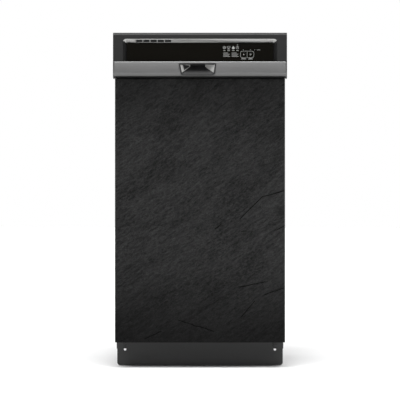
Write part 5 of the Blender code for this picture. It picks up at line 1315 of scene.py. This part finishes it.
def riven_depth(x, z):
    """How far the riven face lies behind the slab's front plane, in metres."""
    u = x * math.cos(CLEAVAGE) + z * math.sin(CLEAVAGE)
    v = -x * math.sin(CLEAVAGE) + z * math.cos(CLEAVAGE)
    bend = rough_noise(x * 9, z * 9, SLATE_SEED, 3)
    layers = rough_noise(u * 7 + bend * 2.0, v * 17 + bend * 3.5, SLATE_SEED + 10, 4) * 13
    steps = np.floor(layers) + np.clip((layers - np.floor(layers)) * 5 - 4, 0, 1) ** 2
    swell = rough_noise(u * 6, v * 12, SLATE_SEED + 20, 3)
    grain = rough_noise(u * 60 + bend, v * 150 + bend, SLATE_SEED + 30, 4, 0.65)
    pits = rough_noise(x * 190, z * 230, SLATE_SEED + 40, 3, 0.7)
    left = np.clip(0.75 - x / 0.5, 0.4, 1.3)
    depth = 0.05 * steps + 0.35 * swell + (2.2 * grain + 1.6 * pits) * left
    low_share, high_share = np.percentile(depth, (0.5, 99.5))
    depth = np.clip((depth - low_share) / (high_share - low_share), 0, 1) * SLATE_STEP
    waver = crack_waver(x, z)
    for crack in CRACKS:
        away = near_line(x, z, crack, waver)
        depth = np.minimum(depth + CRACK_DEPTH * np.exp(-((away / CRACK_WIDTH) ** 2)), SLATE_DEEPEST)
    for ridge in RIDGES:
        away = near_line(x, z, ridge, waver)
        depth = np.maximum(depth - 0.0006 * np.exp(-((away / CRACK_WIDTH) ** 2)), 0.0)
    return depth


def slate_stone():
    """Slate: near-black and matt. Pale flake edges along its cleavage, partly a painted highlight on lit
    ridges; painted shade just past each layer's step; darker toward its bottom, and toward its top partly
    its own tone and partly painted shadow under the control panel.
    """
    stone = Material("slate")
    along = (0.0, -CLEAVAGE, 0.0)
    bands = stone.noise(5.0, stretch=(1.0, 1.0, 2.6), detail=6.0, rough=0.6, turn=along)
    streaks = stone.noise(32.0, stretch=(1.0, 1.0, 4.0), detail=8.0, rough=0.7, turn=along)
    specks = stone.noise(420.0, detail=3.0, rough=0.7)
    chips = stone.noise(105.0, stretch=(1.0, 1.0, 2.2), detail=5.0, rough=0.7, turn=along)
    flakes = stone.noise(38.0, stretch=(1.0, 1.0, 2.0), detail=7.0, rough=0.66, turn=along)
    # Pale flake edges, partly a painted highlight where the ridges catch the light.
    flake_edge_and_highlight = 1 - abs(flakes - 0.5).between(0.0, 0.022)
    layers = stone.noise(
        7.0, stretch=(1.0, 1.0, 3.2), detail=7.0, rough=0.60, turn=along,
    ) * SLATE_LAYERS
    ledge = layers.math("FRACT", layers)
    height = stone.node("ShaderNodeSeparateXYZ", {}, {"Vector": stone.place()}, 2)
    # Darker toward the bottom, and darker toward the top: there partly the slab's own tone, partly painted
    # shadow under the control panel.
    ends = (height.between(0.04, 0.32) * 0.75 + 0.25) * (1 - height.between(0.55, 0.76) * 0.45)
    mottle = bands.between(
        0.36, 0.64,
    ) * 0.20 + streaks.between(0.36, 0.64) * 0.25 + chips.between(0.30, 0.70) * 0.30
    # Each layer is painted darker just past its step and lighter toward the next: painted shade of the
    # steps.
    tone = stone.mix(mottle + ledge * 0.25, (0.0004, 0.0004, 0.0004), (0.0560, 0.0560, 0.0562))
    tone = stone.mix(flake_edge_and_highlight * 0.26, tone, (0.105, 0.105, 0.104))
    tone = stone.mix(ends, (0.003, 0.003, 0.003), tone)
    return stone.surface(
        Base_Color=tone, Roughness=streaks * 0.18 + specks * 0.12 + 0.52,
        Normal=stone.bump(
            (
                layers - ledge + ledge.between(0.70, 1.0)
            ) * 0.060 + streaks * 1.0 + chips * 0.25 + specks * 0.04,
            0.0230,
        ),
        Specular_IOR_Level=0.08,
    )


slate = slate_stone()
slab_low, slab_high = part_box("decor_panel")
SLAB_COLUMNS, SLAB_ROWS = 292, 454
bm = bmesh.new()
bmesh.ops.create_grid(bm, x_segments=SLAB_COLUMNS, y_segments=SLAB_ROWS, size=0.5)
rim = [e for e in bm.edges if e.is_boundary]
back = bmesh.ops.extrude_edge_only(bm, edges=rim)
back_verts = {g for g in back["geom"] if isinstance(g, bmesh.types.BMVert)}
for vert in bm.verts:
    flat = vert.co.copy()
    across, up = flat.x + 0.5, flat.y + 0.5
    vert.co.x = slab_low.x + (slab_high.x - slab_low.x) * across
    vert.co.z = slab_low.z + (slab_high.z - slab_low.z) * up
    vert.co.y = slab_high.y if vert in back_verts else slab_low.y
front_verts = [v for v in bm.verts if v not in back_verts]
x = np.array([v.co.x for v in front_verts])
z = np.array([v.co.z for v in front_verts])
depth = riven_depth(x, z)
to_edge = np.minimum.reduce([x - slab_low.x, slab_high.x - x, z - slab_low.z, slab_high.z - z])
depth = np.minimum(depth + 0.0010 * np.clip(1 - to_edge / SLATE_EDGE, 0, 1) ** 2, SLATE_DEEPEST)
for vert, sunk in zip(front_verts, depth):
    vert.co.y = slab_low.y + sunk
fit(add_piece("slate_slab", bm, slate, 70), "door", "slate", "decor_panel")

# Near-black lines laid in the cracks: painted shade where the cracks fall into shadow.
crack_shade_material = Material("slate_crack_shade")
dust = crack_shade_material.noise(300.0, detail=4.0)
painted_crack_shade = crack_shade_material.surface(
    Base_Color=crack_shade_material.mix(dust, (0.0008, 0.0008, 0.0008), (0.0040, 0.0040, 0.0040)),
    Roughness=dust * 0.1 + 0.85, Normal=crack_shade_material.bump(dust, 0.0003), Specular_IOR_Level=0.02,
)
CRACK_SHADE_POINTS = 40
bm = bmesh.new()
for crack in CRACKS:
    for start, end in zip(crack, crack[1:]):
        share = np.linspace(0.0, 1.0, CRACK_SHADE_POINTS)
        x = start[0] + (end[0] - start[0]) * share
        z = start[1] + (end[1] - start[1]) * share
        stray = crack_waver(x, z)
        x, z = np.clip(x - stray, slab_low.x + 0.001, slab_high.x - 0.001), z - stray
        y = slab_low.y + np.clip(riven_depth(x, z) - 0.0006, 0.0009, None)
        sweep(bm, list(zip(x, y, z)), circle(0.0008, 6))
fit(add_piece("slate_crack_shade_lines", bm, painted_crack_shade), "door", "slate")


# ------------------------------------------------------------------ control panel
# The fascia is one moulding under a dark brushed foil, hollow behind. A bevelled window holds the insert,
# five steam slots open in the window's upper bevel, and the strip below it swells gently to its top.
def dark_brushed(name, dark, pale, roughness, fade=(0.0, 0.001)):
    """Hot-foiled dark metal: fine level brushing, soft cloudiness, and painted shade that darkens it below
    the fade heights.
    """
    foil = Material(name)
    height = foil.node("ShaderNodeSeparateXYZ", {}, {"Vector": foil.place()}, 2)
    lines = foil.noise(5.0, stretch=(2.0, 150.0, 150.0), detail=5.0, rough=0.65)
    cloud = foil.noise(9.0, detail=3.0)
    handled = foil.noise(30.0, detail=7.0, rough=0.7).between(0.60, 0.75)
    tone = foil.mix(lines * 0.5 + cloud * 0.5, (dark,) * 3, (pale,) * 3)
    return foil.surface(
        # Painted shade: below the fade heights the foil is painted darker.
        Base_Color=foil.mix(height.between(*fade), (dark * 0.3,) * 3, tone),
        Metallic=0.85,
        Roughness=lines * 0.14 + cloud * 0.08 + handled * 0.06 + roughness,
        Normal=foil.bump(lines, 0.00002),
    )


def loft(bm, *outlines):
    """Adds a solid through outlines of the same number of points."""
    rings = [[bm.verts.new(p) for p in outline] for outline in outlines]
    for near, far in zip(rings, rings[1:]):
        for k in range(len(near)):
            j = (k + 1) % len(near)
            bm.faces.new((near[k], near[j], far[j], far[k]))
    bm.faces.new(rings[0])
    bm.faces.new(rings[-1])


PANEL_WALL = 0.003
PANEL_LIP = 0.0184
STRIP_HEIGHT = 0.0425
STRIP_PROUD = 0.006
STRIP_ROUND = 0.015
STRIP_LEAN = 0.0017
STRIP_STEPS = 28
PANEL_COLUMNS = 97
LEDGE_STEP = 0.0008
TOP_ROUND = 0.007
WINDOW_HALF = 0.1985
WINDOW_TOP_MARGIN = 0.016
WINDOW_BEVEL = 0.0095
WINDOW_DEPTH = 0.009
WINDOW_BEND = 0.0120
WINDOW_SMALL_BEND = 0.0040
FOIL = 0.0003
dark_steel = dark_brushed("dark_steel", 0.024, 0.036, 0.30)
panel_low, panel_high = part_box("control_panel")
front, rear, bottom, top = panel_low.y, panel_high.y, panel_low.z, panel_high.z
upper_face = front + STRIP_PROUD
window_floor = upper_face + WINDOW_DEPTH
strip_top = bottom + STRIP_HEIGHT
window_top = top - WINDOW_TOP_MARGIN
front += FOIL
side_view = [(rear, bottom)]
for i in range(STRIP_STEPS + 1):
    z = STRIP_HEIGHT * i / STRIP_STEPS
    under = max(0.0, STRIP_ROUND - z)
    lean = STRIP_LEAN * max(0.0, (z / STRIP_HEIGHT - 0.35) / 0.65) ** 2
    side_view.append(
        (front + STRIP_ROUND - math.sqrt(STRIP_ROUND ** 2 - under ** 2) + lean, bottom + z)
    )
side_view += [
    (front + STRIP_LEAN + 0.0008, strip_top + LEDGE_STEP), (upper_face, strip_top + LEDGE_STEP),
]
for k in range(9):
    angle = math.pi / 2 * k / 8
    side_view.append(
        (upper_face + TOP_ROUND * (1 - math.cos(angle)), top - TOP_ROUND * (1 - math.sin(angle)))
    )
side_view.append((rear, top))
bm = bmesh.new()
loft(bm, *([(x, y, z) for y, z in side_view] for x in span(panel_low.x, panel_high.x, PANEL_COLUMNS)))
fascia = add_piece("fascia_moulding", bm, dark_steel, 30)

hollow_half = panel_high.x - PANEL_WALL
lip = front + PANEL_LIP
hollow = [
    (rear + 0.01, bottom - 0.01), (lip, bottom - 0.01), (lip, bottom + PANEL_WALL),
    (front + PANEL_WALL, bottom + STRIP_ROUND), (front + PANEL_WALL, strip_top - PANEL_WALL * 2),
    (window_floor + PANEL_WALL, strip_top - PANEL_WALL * 1.4),
    (window_floor + PANEL_WALL, window_top + 0.001),
    (upper_face + PANEL_WALL, window_top + PANEL_WALL), (upper_face + 0.008, top - PANEL_WALL),
    (rear + 0.01, top - PANEL_WALL),
]
cutters = bmesh.new()
loft(cutters, [(-hollow_half, y, z) for y, z in hollow], [(hollow_half, y, z) for y, z in hollow])
cut(fascia, cutters)


def window_outline(half, level, height, bend):
    """The window's outline at a depth: square at the sill and rounded at its two upper corners."""
    sill = strip_top + LEDGE_STEP
    corners = [(-half, level, sill), (-half, level, height), (half, level, height), (half, level, sill)]
    return rounded_path(corners, bend, closed=False, steps=10)


AHEAD = 0.004
grow = AHEAD * WINDOW_BEVEL / WINDOW_DEPTH
cutters = bmesh.new()
loft(
    cutters, window_outline(WINDOW_HALF + grow, upper_face - AHEAD, window_top + grow, WINDOW_BEND),
    window_outline(
        WINDOW_HALF - WINDOW_BEVEL, window_floor, window_top - WINDOW_BEVEL, WINDOW_SMALL_BEND,
    ),
)
cut(fascia, cutters)

HANDLE_X = -0.006
HANDLE_TOP = strip_top - 0.0062
HANDLE_HEIGHT = 0.0275
HANDLE_HALF_TOP = 0.0465
HANDLE_HALF_LOW = 0.0415
HANDLE_RIM = 0.0017
BUTTON_HOLE = 0.0059
VENTS = 5
VENT_X = -0.1565
VENT_PITCH = 0.0185
VENT_HALF = 0.00815
VENT_SPAN = (window_top - 0.0078, window_top - 0.0022)


def handle_outline(grow, level):
    """The pocket's mouth in the strip at a depth."""
    high, low = HANDLE_TOP + grow, HANDLE_TOP - HANDLE_HEIGHT - grow
    wide, narrow = HANDLE_HALF_TOP + grow, HANDLE_HALF_LOW + grow
    corners = [
        (HANDLE_X - wide, level, high), (HANDLE_X - narrow, level, low),
        (HANDLE_X + narrow, level, low), (HANDLE_X + wide, level, high),
    ]
    return rounded_path(corners, (0.002, 0.006, 0.006, 0.002))


cutters = bmesh.new()
loft(cutters, handle_outline(HANDLE_RIM, front - 0.004), handle_outline(HANDLE_RIM, front + 0.0165))
for i in range(VENTS):
    middle = VENT_X + i * VENT_PITCH
    slot = framed("y", upper_face - 0.004, (middle - VENT_HALF, middle + VENT_HALF), VENT_SPAN)
    slot = rounded_path(slot, 0.0014, steps=4)
    loft(cutters, slot, [(p.x, window_floor + 0.007, p.z) for p in slot])
for button in ("button_start", "button_power"):
    low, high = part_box(button)
    turn(cutters, [(0, -0.007), (BUTTON_HOLE, -0.007), (BUTTON_HOLE, 0.007), (0, 0.007)],
         ((low.x + high.x) / 2, window_floor, (low.z + high.z) / 2), "y", 40)
cut(fascia, cutters)
fit(fascia, "door", "dark_steel", "control_panel")

# The strip carries a paler copy of the fascia's foil, a painted highlight with painted shade along its
# rounded lower edge, and the window's upper bevel a pale grey layer that is a painted reflection. The steam
# slots open into a black duct.
def foil_on(name, material, smooth_below, chosen):
    """A foil laid over those faces of the fascia that the test chooses."""
    bm = bmesh.new()
    bm.from_mesh(fascia.data)
    bmesh.ops.delete(
        bm, geom=[f for f in bm.faces if not chosen(f.normal, f.calc_center_median())],
        context="FACES",
    )
    bm.normal_update()
    for vert in bm.verts:
        vert.co += vert.normal * FOIL
    foil = add_piece(name, bm, material, smooth_below)
    layer = foil.modifiers.new("Layer", "SOLIDIFY")
    layer.thickness = FOIL
    layer.offset = -1.0
    fit(foil, "door", "dark_steel")


# Pale grey that stands in for light: a painted reflection on the window's upper bevel and the grip's
# cheeks, a painted highlight on the grip's bead.
grey_painted_reflection = moulded("grey_painted_reflection", (0.40, 0.40, 0.39), 0.36)
# A paler copy of the fascia's foil: painted highlight on the strip, with painted shade on its rounded
# underside.
strip_steel_painted_light = dark_brushed("strip_steel_painted_light", 0.150, 0.205, 0.26, (0.735, 0.768))
foil_on("window_bevel_painted_reflection", grey_painted_reflection, 5,
        lambda normal, at: normal.z < -0.25 and normal.y < -0.35 and at.z > window_top - 0.014)
foil_on(
    "strip_painted_light", strip_steel_painted_light, 30, lambda normal,
    at: normal.y < -0.2 and at.z < strip_top and at.y < upper_face - 0.001,
)
bm = bmesh.new()
DUCT_FRONT = window_floor + PANEL_WALL + 0.0006
block(
    bm, (VENT_X - 0.012, DUCT_FRONT, window_top - 0.0120),
    (VENT_X + (VENTS - 1) * VENT_PITCH + 0.012, DUCT_FRONT + 0.0016, window_top + 0.0010), 0.0004,
)
for i in range(11):
    x = VENT_X - 0.009 + i * 0.0092
    block(
        bm, (x, DUCT_FRONT - 0.0020, window_top - 0.0105),
        (x + 0.0009, DUCT_FRONT + 0.0004, window_top - 0.0005),
    )
fit(add_piece("steam_duct", bm, black_plastic), "door", "black_plastic")

# The grip pocket is a black cup. Its two cheeks and the bead under its mouth are foiled like the bevel, in
# its pale grey: a painted reflection on the cheeks and a painted highlight on the bead.
for node in ("door_latch", "latch_lever", "handle_cup"):
    dress(node, black_plastic, 0.0003)
THROAT_HALF = 0.0185
THROAT_HEIGHT = 0.0052
THROAT_DEPTH = 0.0235
bm = bmesh.new()
for sign in (-1, 1):
    mouth_high = Vector((HANDLE_X + sign * HANDLE_HALF_TOP, front, HANDLE_TOP))
    mouth_low = Vector((HANDLE_X + sign * HANDLE_HALF_LOW, front, HANDLE_TOP - HANDLE_HEIGHT))
    throat_high = Vector((HANDLE_X + sign * THROAT_HALF, front + THROAT_DEPTH, HANDLE_TOP))
    throat_low = throat_high - Vector((0, 0, THROAT_HEIGHT))
    cheek = [
        mouth_high.lerp(throat_high, 0.06) - Vector((0, 0, 0.0006)),
        mouth_low.lerp(mouth_high, 0.16).lerp(throat_low, 0.06), throat_low.lerp(mouth_low, 0.04),
        throat_high.lerp(mouth_high, 0.04) - Vector((0, 0, 0.0006)),
    ]
    outward = (cheek[1] - cheek[0]).cross(cheek[2] - cheek[0]).normalized()
    outward *= math.copysign(1.0, -sign * outward.x)
    loft(bm, [p - outward * 0.0002 for p in cheek], [p + outward * 0.0004 for p in cheek])
low_edge = HANDLE_TOP - HANDLE_HEIGHT
bead = [(HANDLE_X - HANDLE_HALF_LOW + 0.005, front + 0.0007, low_edge - 0.0004),
        (HANDLE_X + HANDLE_HALF_LOW - 0.005, front + 0.0007, low_edge - 0.0004)]
sweep(bm, bead, circle(0.0006, 8))
fit(add_piece("grip_cheeks", bm, grey_painted_reflection, 30), "door", "dark_steel")


# ------------------------------------------------------------------ insert, buttons and printed marks
# A gloss-black insert fills the window. Two small buttons come through it inside a printed frame, and
# the programme symbols beside them are screen-printed in pale grey.
def piano_black():
    """Gloss-black acrylic with faint wipe marks."""
    acrylic = Material("gloss_black")
    wipes = acrylic.noise(12.0, stretch=(1.0, 1.0, 5.0), detail=6.0)
    dust = acrylic.noise(260.0, detail=4.0).between(0.62, 0.75)
    return acrylic.surface(
        Base_Color=acrylic.mix(dust * 0.3, (0.0040, 0.0036, 0.0026), (0.010, 0.0095, 0.0085)),
        Roughness=wipes * 0.08 + dust * 0.10 + 0.10,
        Specular_IOR_Level=0.12,
    )


def print_ink():
    """Screen-printed pale ink, slightly uneven at its edges."""
    ink = Material("print_ink")
    speckle = ink.noise(900.0, detail=2.0)
    return ink.surface(
        Base_Color=ink.mix(speckle, (0.26, 0.26, 0.25), (0.36, 0.36, 0.35)),
        Roughness=speckle * 0.15 + 0.45,
    )


gloss_black = piano_black()
pale_ink = print_ink()
insert_low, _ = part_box("panel_insert")
dress("panel_insert", gloss_black, 0.0003)
for name in ("button_start", "button_power"):
    low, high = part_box(name)
    centre = (low + high) / 2
    collar = (high.x - low.x) / 2
    cap = 0.0055
    deep = high.y - low.y
    bm = bmesh.new()
    turn(
        bm,
        [
            (0, 0.0003), (cap * 0.72, 0.0001), (cap * 0.80, 0), (cap * 0.92, 0.0001), (cap, 0.0006),
            (cap, deep - 0.0020), (collar, deep - 0.0020), (collar, deep), (0, deep),
        ],
        (centre.x, low.y, centre.z), "y", 48,
    )
    fit(add_piece(f"{name}_cap", bm, gloss_black), name, "gloss_black", name)

INK = 0.00006


def printed(name, outlines, body="door", level=insert_low.y):
    """Flat closed outlines printed on a front face. An outline inside another is a hole in it."""
    curve = bpy.data.curves.new(name, "CURVE")
    curve.dimensions = "2D"
    curve.fill_mode = "BOTH"
    curve.extrude = INK / 2
    for outline in outlines:
        spline = curve.splines.new("POLY")
        spline.points.add(len(outline) - 1)
        for point, (u, v) in zip(spline.points, outline):
            point.co = (u, v, 0.0, 1.0)
        spline.use_cyclic_u = True
    curve.materials.append(pale_ink)
    made = bpy.data.objects.new(name, curve)
    made.matrix_world = Matrix.Translation((0, level - INK, 0)) @ Matrix.Rotation(math.pi / 2, 4, "X")
    bpy.context.scene.collection.objects.link(made)
    fit(made, body, "coated_wire")


def loop(x, z, half_width, half_height, power=2.0, points=24):
    """An oval, or with a high power a rounded box, as (x, z) pairs."""
    outline = []
    for k in range(points):
        angle = 2 * math.pi * k / points
        c, s = math.cos(angle), math.sin(angle)
        outline.append((x + half_width * math.copysign(abs(c) ** (2 / power), c),
                        z + half_height * math.copysign(abs(s) ** (2 / power), s)))
    return outline


def bar(x0, x1, z0, z1):
    """A plain bar."""
    return [(x0, z0), (x1, z0), (x1, z1), (x0, z1)]


def ring(x, z, half_width, half_height, line, power=2.0):
    """A loop's two edges, a line's width apart."""
    return [
        loop(x, z, half_width, half_height, power),
        loop(x, z, half_width - line, half_height - line, power),
    ]


LINE = 0.0007
marks = ring(0.0627, 0.8267, 0.0037, 0.0037, LINE)
marks += ring(0.0627, 0.8267, 0.0019, 0.0019, LINE)
marks += ring(0.0737, 0.8278, 0.0042, 0.0026, LINE, 3.0)
marks += [bar(0.0732, 0.0742, 0.8230, 0.8250), bar(0.0706, 0.0768, 0.8223, 0.8231)]
marks += [
    [
        (0.0858, 0.8310), (0.0822, 0.8262), (0.0826, 0.8238), (0.0845, 0.8226), (0.0871, 0.8226),
        (0.0890, 0.8238), (0.0894, 0.8262),
    ]
]
marks += ring(0.0964, 0.8264, 0.0038, 0.0036, LINE)
marks += [bar(0.0960, 0.0968, 0.8262, 0.8290), bar(0.0960, 0.0984, 0.8260, 0.8267)]
marks += [bar(0.0957, 0.0971, 0.8322, 0.8334), bar(0.0957, 0.0971, 0.8343, 0.8355)]
for x0, x1 in ((0.0590, 0.0664), (0.0693, 0.0780), (0.0816, 0.0899), (0.0924, 0.1004)):
    marks += [bar(x0 + 0.001, x1 - 0.001, 0.8183, 0.8194)]
for x0, x1 in ((0.0600, 0.0775), (0.0816, 0.0994)):
    for i in range(4):
        z = 0.8033 + i * 0.0030
        length = (x1 - x0) * (1.0, 0.82, 0.94, 0.70)[i]
        marks += [bar(x0, x0 + length, z, z + 0.0009)]
for x in (0.1120, 0.1298, 0.1409):
    marks += ring(x, 0.8207, 0.0009, 0.0009, 0.0004)
marks += [bar(0.1465, 0.1548, 0.8203, 0.8211)]
printed("printed_symbols", marks)
frames = [
    *ring(0.12145, 0.8091, 0.0176, 0.0088, 0.0006, 5.0), bar(0.1212, 0.1218, 0.8022, 0.8160),
    bar(0.1058, 0.1190, 0.7966, 0.7975), bar(0.1070, 0.1178, 0.7985, 0.7994),
    bar(0.1236, 0.1362, 0.7966, 0.7975), bar(0.1250, 0.1350, 0.7985, 0.7994),
]
printed("printed_frame", frames)
start_low, start_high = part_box("button_start")
power_low, power_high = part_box("button_power")
start_x, power_x = (start_low.x + start_high.x) / 2, (power_low.x + power_high.x) / 2
button_z = (start_low.z + start_high.z) / 2
arrow = [
    (start_x - 0.0012, button_z - 0.0017), (start_x + 0.0019, button_z),
    (start_x - 0.0012, button_z + 0.0017),
]
printed("printed_start", [arrow], "button_start", start_low.y)
printed("printed_power", ring(power_x, button_z, 0.0019, 0.0019, 0.0007), "button_power", power_low.y)

board = Material("circuit_green")
tracks = board.noise(160.0, stretch=(1.0, 1.0, 4.0)).between(0.5, 0.55)
dress(
    "control_board",
    board.surface(
        Base_Color=board.mix(tracks, (0.012, 0.11, 0.04), (0.03, 0.22, 0.08)),
        Roughness=tracks * 0.2 + 0.35,
    ),
    0.0002,
)


# ------------------------------------------------------------------ toe kick
# A folded black steel strip closes the base below the door. Two countersunk screws in upright slots hold
# it, so that it can be set to the floor's height.
toe_paint = moulded("toe_black", (0.022, 0.022, 0.022), 0.50, 0.00002)
dress("toe_kick", toe_paint, 0.0003)
for side in ("left", "right"):
    dress(f"toe_kick_screw_{side}", toe_paint, 0.0003)
